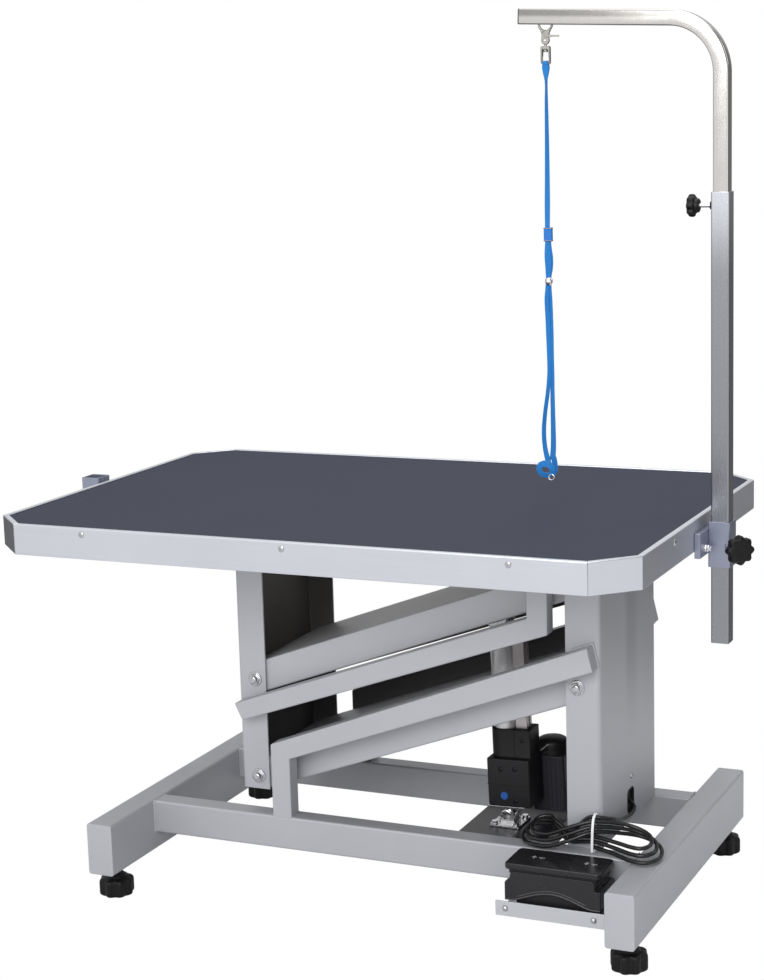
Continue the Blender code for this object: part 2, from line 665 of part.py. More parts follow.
# Moving braces: slope up from the left column, then a post under the board
UPPER_START_X = (-0.2140, -0.2000)    # left end of the top edge and of the bottom edge
UPPER_POST_X = (0.3120, 0.3465)
UPPER_BRACE_Y = (LEFT_COL_HALF_Y + GAP, 0.1660)    # from the middle
UPPER_HOLLOW_X = -0.1900
UPPER_CUT_TOP_Z = 0.65            # past the open top of the post
UPPER_POST_FLOOR = BRACE_WALL * 1.2
UPPER_INNER_CORNER_WALL = BRACE_WALL * 0.6
upper_top = sloped(UPPER_START_X[0], 0.3222, 0.3555)
upper_bottom = sloped(UPPER_START_X[1], 0.2939, 0.3480)


def upper_braces():
    top_start, bottom_start = UPPER_START_X
    x0, x1 = UPPER_POST_X
    post_top = LEFT_COL_Z[1]
    wall = BRACE_WALL
    start = UPPER_HOLLOW_X
    shape = [(top_start, upper_top(top_start)), (bottom_start, upper_bottom(bottom_start)),
             (x1, upper_bottom(x1)), (x1, post_top), (x0, post_top), (x0, upper_top(x0))]
    hollow = [(start, upper_top(start) - wall), (start, upper_bottom(start) + wall),
              (x1 - wall, upper_bottom(x1) + UPPER_POST_FLOOR), (x1 - wall, UPPER_CUT_TOP_Z),
              (x0 + wall, UPPER_CUT_TOP_Z),
              (x0 + wall, upper_top(x0) - UPPER_INNER_CORNER_WALL)]
    for side, sign in SIDES:
        y0, y1 = side_span(UPPER_BRACE_Y, sign)
        brace = piece("upper_brace_" + side, in_xz([shape], y0, y1), PAINT)
        cut(brace, in_xz([hollow], y0 + wall, y1 - wall))


# ---------------------------------------------------------------- table top
MAT_INSET = 0.0010                # inside the apron


def octagon(inset):
    """Table outline moved inwards; starts at the left end of the front edge."""
    chamfer = TABLE_CHAMFER - inset * (2 - math.sqrt(2))
    x, y = END_X - inset, TABLE_WIDTH / 2 - inset
    return [(-x + chamfer, -y), (x - chamfer, -y), (x, -y + chamfer), (x, y - chamfer),
            (x - chamfer, y), (-x + chamfer, y), (-x, y - chamfer), (-x, -y + chamfer)]


def moved_towards(start, end, distance):
    step = Vector((end[0] - start[0], end[1] - start[1])).normalized() * distance
    return (start[0] + step.x, start[1] + step.y)


def table_top():
    piece("table_board", in_xy([octagon(APRON_THICK + GAP)], BOARD_BOTTOM_Z, BOARD_TOP_Z), BOARD)
    piece("rubber_mat", in_xy([octagon(APRON_THICK + MAT_INSET)], BOARD_TOP_Z + GAP, MAT_TOP_Z),
          RUBBER)


def apron():
    outer, inner = octagon(0.0), octagon(APRON_THICK)
    strips = {}
    for name, i in (("apron_front", 0), ("apron_rear", 4)):
        j = i + 1
        strips[name] = [moved_towards(outer[i], outer[j], GAP),
                        moved_towards(outer[j], outer[i], GAP),
                        moved_towards(inner[j], inner[i], GAP),
                        moved_towards(inner[i], inner[j], GAP)]
    # the end strips are folded round both of their corners
    for name, i in (("apron_right", 1), ("apron_left", 5)):
        corners = [(i + j) % 8 for j in range(4)]
        strips[name] = [outer[j] for j in corners] + [inner[j] for j in reversed(corners)]
    for name, loop in strips.items():
        piece(name, in_xy([loop], APRON_BOTTOM_Z, TABLE_RIM_Z), APRON_METAL)


# ---------------------------------------------------------------- actuator
# Drawn in its own frame: the lower pin is the origin and the rod runs along +Z
MOUNT_Z = (0.0140, 0.0187)
MOUNT_LUG_R = 0.0105
GEARBOX_HALF_Y = 0.0320
GEARBOX_Z = (MOUNT_Z[1] + GAP, 0.1010)
SLEEVE_R = 0.0235
SLEEVE_Z = (GEARBOX_Z[1] + GAP, 0.1500)
ACT_TUBE_R = 0.0200
ACT_TUBE_BORE_R = 0.0129
ACT_TUBE_TOP = 0.3080
PROFILE_TOP = 0.3000
MOTOR_HOUSING_Z = (-0.0050, 0.0915)
MOTOR_X, MOTOR_Y = 0.0590, 0.0600
MOTOR_BOTTOM = MOTOR_HOUSING_Z[1] + GAP
MOTOR_PROFILE = (                 # radius, Z
    (0.0, 0.1200), (0.012, 0.1195), (0.022, 0.1165),
    (0.0265, 0.1110), (0.0265, MOTOR_BOTTOM), (0.0, MOTOR_BOTTOM),
)
ROD_R = 0.0125
ROD_EYE_R = 0.0130

act_frame = (Matrix.Translation((ACT_BASE[0], 0, ACT_BASE[1]))
             @ Matrix.Rotation(ACT_TILT, 4, "Y"))


def act_piece(name, mesh, finish, smooth=None):
    return carry(piece(name, mesh, finish, smooth), act_frame)


def actuator_mount():
    mount = act_piece("actuator_mount", box(-0.0280, 0.0380, -0.0300, 0.0300, *MOUNT_Z),
                      MOUNT_METAL)
    lug = ([(MOUNT_LUG_R, 0.0160), (-MOUNT_LUG_R, 0.0160)]
           + arc(0, 0, MOUNT_LUG_R, 180, 360, 12))
    join(mount, in_xz([lug], -0.0105, 0.0105), act_frame)
    cut(mount, cylinder(ACT_PIN_HOLE_R, -0.03, 0.03, (0, 0), "Y", 20), act_frame)


def actuator_body():
    act_piece("actuator_gearbox",
              in_xy([rect(-0.0255, 0.0505, -GEARBOX_HALF_Y, GEARBOX_HALF_Y, 0.004, 3)],
                    *GEARBOX_Z), BLACK_SATIN, 40)
    ring = [(0.0500, -0.0230), (0.0500, 0.0230)] + arc(0, 0, SLEEVE_R, 78, 282, 16)
    sleeve = act_piece("actuator_sleeve", in_xy([ring], *SLEEVE_Z), BLACK_SATIN, 40)
    cut(sleeve, cylinder(ACT_TUBE_R + GAP, 0.09, 0.16, (0, 0), "Z", 32), act_frame)
    act_piece("actuator_tube",
              in_xy([circle(0, 0, ACT_TUBE_R, 32), circle(0, 0, ACT_TUBE_BORE_R, 32)],
                    SLEEVE_Z[0], ACT_TUBE_TOP), TUBE_METAL, 40)
    act_piece("actuator_profile", in_xy([rect(0.0207, 0.0410, -0.0120, 0.0120)],
                                        SLEEVE_Z[1] + GAP, PROFILE_TOP), PROFILE_METAL)


def actuator_motor():
    act_piece("motor_housing",
              in_xy([rect(0.0300, 0.0870, GEARBOX_HALF_Y + GAP, 0.0880, 0.006, 3)],
                    *MOTOR_HOUSING_Z), BLACK_SATIN, 40)
    act_piece("motor", turned(MOTOR_PROFILE, 28, Matrix.Translation((MOTOR_X, MOTOR_Y, 0))),
              BLACK_SATIN, 40)


def actuator_rod():
    eye = (0, ACT_LEN)
    rod = act_piece("actuator_rod", cylinder(ROD_R, 0.1180, ACT_LEN - 0.004, (0, 0), "Z", 28),
                    ROD_STEEL, 40)
    join(rod, cylinder(ROD_EYE_R, -0.0150, 0.0150, eye, "Y", 28), act_frame)
    cut(rod, cylinder(ACT_PIN_HOLE_R, -0.03, 0.03, eye, "Y", 20), act_frame)
    pin = turned(pin_profile(ACT_PIN_R, 0.0233, 0.0190, 0.0030), 24,
                 Matrix.Translation((0, 0, ACT_LEN)) @ TURN["Y"])
    act_piece("rod_pin", pin, STEEL, 40)


# ---------------------------------------------------------------- pole and sliding arm
POLE_X = 0.5767
POLE_Y = 0.0144
POLE_HALF = 0.0292 / 2            # outer tube, half its size across flats
POLE_BORE_HALF = 0.0256 / 2
TUBE_HALF = 0.0246 / 2            # sliding inner tube
TUBE_BORE_HALF = 0.0216 / 2
POLE_Z = (0.4490, 1.1600)
TUBE_FOOT_Z = 0.8600
BEND_R = 0.0850
BEND_CENTRE = (POLE_X - BEND_R, 1.3390)    # X, Z
ARM_RISE = math.radians(2.7)
ARM_TIP_X = 0.2535
BEND_END = (0.4957, 1.4239)       # X, Z on the tube's centre line, where the bend ends

SOCKET_BORE_HALF = POLE_HALF + GAP
SOCKET_WALL = (0.0028, 0.0045)    # in X, in Y
BRACKET_END_X = 0.5600
SCREW_Z = 0.6080                  # clamp knob and bracket bolt
BRACKET_BOLT_Y = -0.0250
BRACKET_BOLT_PROFILE = (          # radius, height
    (0.0, 0.0100), (0.0035, 0.0100), (0.0042, 0.0090), (0.0042, 0.0030),
    (0.0060, 0.0028), (0.0060, 0.0), (0.0, 0.0),
)
KNOB_HOLE_R = 0.0038

# The clamp knob points out of the front right corner of the right socket's bore
clamp_hole_frame = (
    Matrix.Translation((POLE_X + SOCKET_BORE_HALF, POLE_Y - SOCKET_BORE_HALF, SCREW_Z))
    @ Matrix.Rotation(math.radians(-45), 4, "Z") @ TURN["X"])
clamp_frame = clamp_hole_frame @ Matrix.Translation((0, 0, 0.0005))
# The height knob points to the left, out of the top of the pole
height_frame = (Matrix.Translation((POLE_X - TUBE_HALF - 0.0002, POLE_Y, 1.1390))
                @ Matrix.Rotation(math.radians(-90), 4, "Y"))


def square(x, half, radius=0.0, steps=3):
    """Square round (x, POLE_Y)."""
    return rect(x - half, x + half, POLE_Y - half, POLE_Y + half, radius, steps)


def knob_hole(depth_from, depth_to, frame):
    return transformed(cylinder(KNOB_HOLE_R, depth_from, depth_to, (0, 0), "Z", 16), frame)


def socket(name, x, z_span):
    half_x = SOCKET_BORE_HALF + SOCKET_WALL[0]
    half_y = SOCKET_BORE_HALF + SOCKET_WALL[1]
    outer = rect(x - half_x, x + half_x, POLE_Y - half_y, POLE_Y + half_y, 0.002, 2)
    return piece(name, in_xy([outer, square(x, SOCKET_BORE_HALF)], *z_span), SOCKET_METAL)


def sockets():
    """A pole socket at each end of the table, with its block on the end apron."""
    right = socket("right_socket", POLE_X, (0.5735, 0.6457))
    cut(right, knob_hole(-0.004, 0.02, clamp_hole_frame))
    join(right, box(END_X + GAP, BRACKET_END_X, -0.0520, 0.0300, 0.5860, 0.6360))
    place = Matrix.Translation((BRACKET_END_X + GAP, BRACKET_BOLT_Y, SCREW_Z))
    piece("bracket_bolt", turned(BRACKET_BOLT_PROFILE, 16, place @ TURN["X"]), STEEL, 40)
    left = socket("left_socket", -POLE_X, (0.5900, 0.6620))
    join(left, box(-BRACKET_END_X, -END_X - GAP, -0.0300, 0.0520, 0.5960, 0.6460))


def star_knob(name, frame, stud_length, stud_radius, head_radius, head_thick):
    """Star knob along local +Z: stud from 0, hub, then the lobed head."""
    hub_top = stud_length + 0.0085
    core = turned([(0.0, hub_top), (0.0113, hub_top), (0.0113, stud_length),
                   (stud_radius, stud_length), (stud_radius, 0.0), (0.0, 0.0)], 22)
    knob = carry(piece(name, core, BLACK_SHEEN, 40), frame)
    head = stud_length + 0.006
    join(knob, in_xy([lobed(head_radius, 0.0018)], head, head + head_thick), frame)


def outer_pole():
    pole = piece("outer_pole", in_xy([square(POLE_X, POLE_HALF, 0.002, 2),
                                      square(POLE_X, POLE_BORE_HALF)], *POLE_Z), POLE_METAL)
    cut(pole, knob_hole(-0.001, 0.01, height_frame))


def arm_loop(half, overrun=0.0):
    """Side outline of the bent tube, lengthened by overrun at both ends."""
    cx, cz = BEND_CENTRE
    turn = 90 - math.degrees(ARM_RISE)
    along = Vector((-math.cos(ARM_RISE), math.sin(ARM_RISE)))
    across = Vector((math.sin(ARM_RISE), math.cos(ARM_RISE))) * half
    bend_end = Vector((cx + BEND_R * math.cos(math.radians(turn)),
                       cz + BEND_R * math.sin(math.radians(turn))))
    length = (bend_end.x - ARM_TIP_X) / math.cos(ARM_RISE)
    tip = bend_end + along * (length + overrun)
    foot = TUBE_FOOT_Z - overrun
    return ([(POLE_X - half, foot), (POLE_X + half, foot)]
            + arc(cx, cz, BEND_R + half, 0, turn, 14)
            + [tuple(tip + across), tuple(tip - across)]
            + arc(cx, cz, BEND_R - half, turn, 0, 14))


def sliding_arm():
    """Bent square tube with two slots in its underside for the hook's ring."""
    arm = piece("sliding_arm", in_xz([arm_loop(TUBE_HALF)], POLE_Y - TUBE_HALF,
                                     POLE_Y + TUBE_HALF), SLIDING_METAL, 25)
    cut(arm, in_xz([arm_loop(TUBE_BORE_HALF, 0.02)], POLE_Y - TUBE_BORE_HALF,
                   POLE_Y + TUBE_BORE_HALF))
    for sign in (-1, 1):
        x = HOOK_X + sign * RING_R
        cut(arm, box(x - 0.0038, x + 0.0038, POLE_Y - 0.0030, POLE_Y + 0.0030,
                     RING_Z - 0.006, RING_Z + 0.006))


# ---------------------------------------------------------------- snap hook and swivel eye
HOOK_X = 0.2932
RING_R = 0.0108
RING_WIRE_R = 0.0016
ARM_BOTTOM_Z = (BEND_END[1] + math.tan(ARM_RISE) * (BEND_END[0] - HOOK_X)
                - TUBE_HALF / math.cos(ARM_RISE))    # at the hook
RING_Z = ARM_BOTTOM_Z + 0.0008
RING_BOTTOM = RING_Z - RING_R
SWIVEL_X = HOOK_X - 0.0003
SWIVEL_Z = RING_BOTTOM - 0.0200
LEVER_X, LEVER_Z = HOOK_X + 0.0030, RING_BOTTOM - 0.0075
LEVER_OUTLINE = (                 # X, Z from the lever's pin
    (-0.0026, -0.0022), (0.0040, -0.0016), (0.0180, -0.0016), (0.0215, -0.0006),
    (0.0180, 0.0010), (0.0040, 0.0016), (-0.0026, 0.0022),
)
EYE_HALF_X = 0.0075
EYE_X = (SWIVEL_X - EYE_HALF_X, SWIVEL_X + EYE_HALF_X)
EYE_Z = (SWIVEL_Z - 0.0305, SWIVEL_Z - 0.0025)
EYE_SIDE = 0.0024
EYE_BAR = 0.0026                  # height of the bottom bar
EYE_TOP_BAR = 0.0044


def snap_hook():
    """Wire ring, hook body, and the stem with its button for the swivel."""
    points = [(x, POLE_Y, z) for x, z in arc(HOOK_X, RING_Z, RING_R, -90, 255, 23)]
    hook = piece("snap_hook", wire(points, RING_WIRE_R, True), STEEL, 50)
    body = ([(HOOK_X - 0.0030, RING_BOTTOM + 0.001), (HOOK_X + 0.0030, RING_BOTTOM + 0.001),
             (HOOK_X + 0.0065, RING_BOTTOM - 0.012)]
            + arc(SWIVEL_X, RING_BOTTOM - 0.0140, 0.0068, 0, -180, 10)
            + [(HOOK_X - 0.0070, RING_BOTTOM - 0.012)])
    join(hook, in_xz([body], POLE_Y - 0.0027, POLE_Y + 0.0027))
    stem = (SWIVEL_X, POLE_Y)
    join(hook, cylinder(0.0021, SWIVEL_Z - 0.0085, SWIVEL_Z + 0.0015, stem, "Z", 16))
    join(hook, cylinder(0.0038, SWIVEL_Z - 0.0120, SWIVEL_Z - 0.0078, stem, "Z", 16))
    cut(hook, cylinder(0.0011, POLE_Y - 0.004, POLE_Y + 0.004, (LEVER_X, LEVER_Z), "Y", 12))


def hook_lever():
    shape = [(LEVER_X + x, LEVER_Z + z) for x, z in LEVER_OUTLINE]
    lever = piece("hook_lever", in_xz([shape], POLE_Y - 0.0046, POLE_Y - 0.0030), STEEL)
    join(lever, cylinder(0.0008, POLE_Y - 0.0040, POLE_Y + 0.0022, (LEVER_X, LEVER_Z), "Y", 12))


def swivel_eye():
    """Frame around the stem, thinned at the bottom to a bar for the strap."""
    x0, x1 = EYE_X
    bottom, top = EYE_Z
    window = rect(x0 + EYE_SIDE, x1 - EYE_SIDE, bottom + EYE_BAR, top - EYE_TOP_BAR, 0.001, 2)
    eye = piece("swivel_eye", in_xz([rect(x0, x1, bottom, top, 0.002, 2), window],
                                    POLE_Y - 0.0035, POLE_Y + 0.0035), STEEL, 40)
    cut(eye, cylinder(0.0024, top - 0.006, top + 0.002, (SWIVEL_X, POLE_Y), "Z", 16))
    for _, sign in SIDES:
        cut(eye, box(x0 + 0.0015, x1 - 0.0015, *side_span((0.0015, 0.006), sign, POLE_Y),
                     bottom - 0.001, bottom + 0.0120))


# ---------------------------------------------------------------- noose
BAR_Z = EYE_Z[0] + EYE_BAR / 2
STRAP_HALF_X = 0.0038
STRAP_HALF_Y = 0.0010
STRAP_BOTTOM_Z = 0.936            # the loop starts 2 mm above, so that they overlap
SLIDER_Z = (1.0835, 1.1055)
BEAD_Z = 1.0208
NOOSE_OUTER = (                   # X from the swivel, Z: down the left side, up the right
    (-0.0038, 0.938), (-0.0036, 0.905), (-0.0100, 0.870), (-0.0135, 0.825), (-0.0142, 0.780),
    (-0.0100, 0.745), (-0.0125, 0.728), (-0.0190, 0.716), (-0.0160, 0.704), (-0.0040, 0.700),
    (0.0080, 0.703), (0.0135, 0.712), (0.0100, 0.726), (0.0020, 0.736), (0.0060, 0.752),
    (0.0085, 0.780), (0.0080, 0.825), (0.0060, 0.870), (0.0036, 0.905), (0.0038, 0.938),
)
NOOSE_INNER = (                   # the same columns
    (0.0, 0.900), (-0.0068, 0.868), (-0.0103, 0.825), (-0.0110, 0.782), (-0.0066, 0.744),
    (-0.0100, 0.726), (-0.0145, 0.714), (-0.0125, 0.708), (-0.0030, 0.7040),
    (0.0060, 0.7065), (0.0095, 0.713), (0.0070, 0.722), (-0.0022, 0.736),
    (0.0028, 0.754), (0.0053, 0.782), (0.0048, 0.825), (0.0028, 0.868),
)
BEAD_PROFILE = (                  # radius, height
    (0.0, 0.0060), (0.0030, 0.0053), (0.0050, 0.0035), (0.0061, 0.0),
    (0.0050, -0.0035), (0.0030, -0.0053), (0.0, -0.0060),
)


def noose_strap():
    """Strap wrapped round the bar of the eye, hanging down and opening into a loop."""
    y0, y1 = POLE_Y - STRAP_HALF_Y, POLE_Y + STRAP_HALF_Y
    section = (arc(POLE_Y, BAR_Z, 0.0042, -60, 240, 14)
               + [(y0, BAR_Z - 0.020), (y0, STRAP_BOTTOM_Z), (y1, STRAP_BOTTOM_Z),
                  (y1, BAR_Z - 0.020)])
    strap = piece("noose_strap", in_yz([section, circle(POLE_Y, BAR_Z, 0.0023, 14)],
                                       SWIVEL_X - STRAP_HALF_X, SWIVEL_X + STRAP_HALF_X),
                  STRAP_BLUE)
    loops = [[(SWIVEL_X + x, z) for x, z in table] for table in (NOOSE_OUTER, NOOSE_INNER)]
    join(strap, in_xz(loops, POLE_Y - 0.0012, POLE_Y + 0.0012))


def slider_and_bead():
    outer = rect(SWIVEL_X - 0.0070, SWIVEL_X + 0.0070, POLE_Y - 0.0035, POLE_Y + 0.0035,
                 0.0015, 2)
    hole = rect(SWIVEL_X - 0.0043, SWIVEL_X + 0.0043, POLE_Y - 0.0015, POLE_Y + 0.0015)
    piece("strap_slider", in_xy([outer, hole], *SLIDER_Z), PLASTIC_BLUE, 40)
    place = Matrix.Translation((SWIVEL_X, POLE_Y, BEAD_Z))
    bead = piece("strap_bead", turned(BEAD_PROFILE, 20, place), PLASTIC_BLUE, 40)
    cut(bead, box(SWIVEL_X - 0.0041, SWIVEL_X + 0.0041, POLE_Y - 0.0014, POLE_Y + 0.0014,
                  1.01, 1.035))


# ---------------------------------------------------------------- origin and axes of motion
# The root empty moves the whole object so that its origin is on the floor under the middle of
# its full length, pole and left socket included. Each moving group hangs from an empty that
# stands on its own joint's axis.
MID_X = 0.0215

AXES = (                          # empty, empty above it, place, pieces hung from it
    ("lift_axis", None, (PIVOT_R0[0], 0, PIVOT_R0[1]), ("lower_arm",)),
    ("level_axis", "lift_axis", (PIVOT_L0[0], 0, PIVOT_L0[1]),
     ("left_column", "upper_brace_front", "upper_brace_rear", "table_board", "rubber_mat",
      "apron_front", "apron_rear", "apron_right", "apron_left", "right_socket", "left_socket",
      "bracket_bolt", "left_lower_bolt_front", "left_lower_bolt_rear",
      "left_upper_bolt_front", "left_upper_bolt_rear")),
    ("upper_arm_axis", None, (PIVOT_R1[0], 0, PIVOT_R1[1]), ("upper_arm", "actuator_lug")),
    ("actuator_axis", None, (ACT_BASE[0], 0, ACT_BASE[1]),
     ("actuator_mount", "actuator_gearbox", "actuator_sleeve", "actuator_tube",
      "actuator_profile", "motor_housing", "motor")),
    ("rod_axis", "actuator_axis", (ACT_TOP[0], 0, ACT_TOP[1]), ("actuator_rod", "rod_pin")),
    ("pedal_axis", None, (PEDAL_AXIS[0], PEDAL_MID_Y, PEDAL_AXIS[1]), ("pedal",)),
    *((name + "_axis", None, (x, y, 0), (name + "_foot",)) for name, (x, y) in FEET.items()),
    ("pole_axis", "level_axis", (POLE_X, POLE_Y, POLE_Z[0]), ("outer_pole",)),
    ("clamp_knob_axis", "level_axis", clamp_frame.translation, ("clamp_knob",)),
    ("height_knob_axis", "pole_axis", height_frame.translation, ("height_knob",)),
    ("arm_axis", "pole_axis", (POLE_X, POLE_Y, TUBE_FOOT_Z), ("sliding_arm",)),
    ("hook_axis", "arm_axis", (HOOK_X, POLE_Y, RING_Z), ("snap_hook",)),
    ("hook_lever_axis", "hook_axis", (LEVER_X, POLE_Y, LEVER_Z), ("hook_lever",)),
    ("swivel_axis", "hook_axis", (SWIVEL_X, POLE_Y, SWIVEL_Z), ("swivel_eye",)),
    ("strap_axis", "swivel_axis", (SWIVEL_X, POLE_Y, BAR_Z), ("noose_strap",)),
    ("slider_axis", "strap_axis", (SWIVEL_X, POLE_Y, sum(SLIDER_Z) / 2), ("strap_slider",)),
    ("bead_axis", "strap_axis", (SWIVEL_X, POLE_Y, BEAD_Z), ("strap_bead",)),
)


def empty(name, parent, location):
    stand = bpy.data.objects.new(name, None)
    stand.empty_display_size = 0.03
    stand.parent = parent
    stand.location = location
    piece_coll.objects.link(stand)
    return stand


def hang_on_axes():
    root = empty("table_origin", None, (-MID_X, 0, 0))
    stands = {None: (root, Vector((0, 0, 0)))}
    hung = set()
    for name, above_name, place, members in AXES:
        above, above_place = stands[above_name]
        place = Vector(place)
        stand = empty(name, above, place - above_place)
        stands[name] = (stand, place)
        for member in members:
            obj = bpy.data.objects[member]
            # a piece with a frame of its own moves as an object, any other by its mesh
            if obj.location.length > 0:
                obj.location -= place
            else:
                obj.data.transform(Matrix.Translation(-place))
            obj.parent = stand
            hung.add(member)
    for obj in list(piece_coll.objects) + list(cutter_coll.objects):
        if obj.type == "MESH" and obj.name not in hung:
            obj.parent = root


# ---------------------------------------------------------------- build
# The helpers are numbered as they are made, so this order sets their names
cross_feet()
rails()
base_plate()
actuator_clevis()
right_column()
lower_braces()
levelling_feet()
switch_tray()
foot_pedal()
switch_cable()
lift_arm("lower_arm", PIVOT_L0, slot=True)
lift_arm("upper_arm", PIVOT_L1, slot=False)
actuator_lug()
pivot_bolts()
left_column()
upper_braces()
table_top()
apron()
actuator_mount()
actuator_body()
actuator_motor()
actuator_rod()
sockets()
star_knob("clamp_knob", clamp_frame, stud_length=0.0190, stud_radius=0.0033,
          head_radius=0.0215, head_thick=0.016)
outer_pole()
star_knob("height_knob", height_frame, stud_length=0.0235, stud_radius=0.0034,
          head_radius=0.0160, head_thick=0.012)
sliding_arm()
snap_hook()
hook_lever()
swivel_eye()
noose_strap()
slider_and_bead()
hang_on_axes()
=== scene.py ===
"""Looks of the grooming table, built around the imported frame.

Sizes are in metres, measured from the middle of the table top (design frame); SHIFT carries every new mesh
into the frame's own origin.
"""

import math

import bmesh
import bpy
from mathutils import Matrix, Vector, noise


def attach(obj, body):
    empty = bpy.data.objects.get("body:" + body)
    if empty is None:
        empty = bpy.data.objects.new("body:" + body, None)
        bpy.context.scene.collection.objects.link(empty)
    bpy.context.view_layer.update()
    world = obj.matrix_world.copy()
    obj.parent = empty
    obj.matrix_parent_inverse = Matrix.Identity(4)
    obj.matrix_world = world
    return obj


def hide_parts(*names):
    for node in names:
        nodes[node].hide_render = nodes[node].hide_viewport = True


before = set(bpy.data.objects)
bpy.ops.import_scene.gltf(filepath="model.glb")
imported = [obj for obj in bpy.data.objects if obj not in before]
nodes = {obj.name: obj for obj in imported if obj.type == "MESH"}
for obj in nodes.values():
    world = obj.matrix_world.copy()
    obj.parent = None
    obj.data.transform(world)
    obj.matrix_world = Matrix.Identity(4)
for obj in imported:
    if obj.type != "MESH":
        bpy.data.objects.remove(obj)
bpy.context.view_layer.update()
SHIFT = Matrix.Translation((-0.0215, 0, 0))
OUT = []

# ---------------------------------------------------------------- sizes
TABLE_L, TABLE_W, CHAMFER = 1.100, 0.759, 0.0624
RIM_Z, APRON_Z, MAT_Z, BOARD_Z = 0.6564, 0.6061, 0.6545, (0.6342, 0.6502)
FOOT_X = ((-0.4220, -0.3744), (0.4859, 0.5335))
FOOT_HY, FOOT_Z = 0.3169, (0.0480, 0.1367)
KNOB_Y = 0.270
RAIL_Y, RAIL_Z = (-0.1760, -0.1380), (0.0797, 0.1367)
PLATE_X, PLATE_Z = (0.148, 0.300), 0.108
L0, L1, R0, R1 = (-0.1880, 0.1896), (-0.1880, 0.3593), (0.3879, 0.3984), (0.3879, 0.5681)
ARM_A = math.atan2(R0[1] - L0[1], R0[0] - L0[0])
ARM_LEN = math.hypot(R0[0] - L0[0], R0[1] - L0[1])
ARM_R, ARM_HY, ARM_W = 0.0260, 0.1305, 0.0035
LCX, LCY, LCZ = (-0.2187, -0.1680), 0.1360, (0.1664, 0.6339)
RCX, RCY, RCZ = (0.3690, 0.4260), 0.1460, (0.1370, 0.5920)
CW = 0.0040
ACT0, ACT1 = (0.2151, 0.1280), (0.2051, 0.4700)
ACT_TILT = math.atan2(ACT1[0] - ACT0[0], ACT1[1] - ACT0[1])
ACT_LEN = math.hypot(ACT1[0] - ACT0[0], ACT1[1] - ACT0[1])
PX, PY = 0.5767, 0.0144
POLE_OUT, POLE_BORE, ARM_OUT, ARM_BORE = 0.0292, 0.0256, 0.0246, 0.0216
POLE_Z = (0.4490, 1.1600)
BEND_C, BEND_R = (0.4917, 1.3390), 0.0850
RISE = math.radians(2.7)
TIP_X = 0.2535
HOOK_X, RING_Z, RING_R, WIRE = 0.2932, 1.42194, 0.0108, 0.0016
SX = HOOK_X - 0.0003
BZ = RING_Z - RING_R
SWZ = BZ - 0.0200
EYE_TOP, EYE_BOT = SWZ - 0.0025, SWZ - 0.0305
BAR_Z = EYE_BOT + 0.0013
GAP = 0.0003


# ---------------------------------------------------------------- node helpers
def lin(*c):
    return tuple(((v / 255) / 12.92 if v / 255 <= 0.04045 else ((v / 255 + 0.055) / 1.055) ** 2.4) for v in c)


def put(nt, kind, at=None, **values):
    n = nt.nodes.new(kind)
    for k, v in values.items():
        if k in n.inputs:
            n.inputs[k].default_value = v
        elif hasattr(n, k):
            setattr(n, k, v)
    return n


def base(name, color, rough, metal=0.0, spec=0.5):
    m = bpy.data.materials.new(name)
    m.use_nodes = True
    b = m.node_tree.nodes["Principled BSDF"]
    b.inputs["Base Color"].default_value = (*color, 1)
    b.inputs["Roughness"].default_value = rough
    b.inputs["Metallic"].default_value = metal
    b.inputs["Specular IOR Level"].default_value = spec
    m.diffuse_color = (*color, 1)
    return m, m.node_tree, b


def coords(nt, scale, rot=(0, 0, 0)):
    tc = put(nt, "ShaderNodeTexCoord")
    mp = put(nt, "ShaderNodeMapping")
    mp.inputs["Scale"].default_value = scale
    mp.inputs["Rotation"].default_value = rot
    nt.links.new(tc.outputs["Object"], mp.inputs["Vector"])
    return mp.outputs["Vector"]


def grain(nt, scale, size, detail=2.0, rough=0.5, kind="noise", rot=(0, 0, 0)):
    v = coords(nt, scale, rot)
    if kind == "voronoi":
        n = put(nt, "ShaderNodeTexVoronoi", Scale=size)
        nt.links.new(v, n.inputs["Vector"])
        return n.outputs["Distance"]
    n = put(nt, "ShaderNodeTexNoise", Scale=size, Detail=detail, Roughness=rough)
    nt.links.new(v, n.inputs["Vector"])
    return n.outputs["Fac"]


def span(nt, src, lo, hi, a=0.0, b=1.0):
    r = put(nt, "ShaderNodeMapRange")
    r.inputs["From Min"].default_value, r.inputs["From Max"].default_value = a, b
    r.inputs["To Min"].default_value, r.inputs["To Max"].default_value = lo, hi
    nt.links.new(src, r.inputs["Value"])
    return r.outputs["Result"]


def tint(nt, b, color, src, low, high):
    """Base colour times a factor that runs from low to high with src."""
    f = span(nt, src, low, high)
    mix = put(nt, "ShaderNodeVectorMath", operation="SCALE")
    mix.inputs[0].default_value = color
    nt.links.new(f, mix.inputs["Scale"])
    nt.links.new(mix.outputs[0], b.inputs["Base Color"])
    return mix


def bump(nt, b, src, strength, distance, prev=None):
    n = put(nt, "ShaderNodeBump", Strength=strength, Distance=distance)
    nt.links.new(src, n.inputs["Height"])
    if prev is not None:
        nt.links.new(prev.outputs[0], n.inputs["Normal"])
    nt.links.new(n.outputs[0], b.inputs["Normal"])
    return n


def paint(name, color, rough=0.42, metal=0.25):
    m, nt, b = base(name, color, rough, metal, 0.45)
    tint(nt, b, color, grain(nt, (1, 1, 1), 9, 4), 0.955, 1.045)
    nt.links.new(span(nt, grain(nt, (1, 1, 1), 30, 3), rough - 0.05, rough + 0.06), b.inputs["Roughness"])
    bump(nt, b, grain(nt, (1, 1, 1), 900, 2), 0.10, 0.0003)
    return m


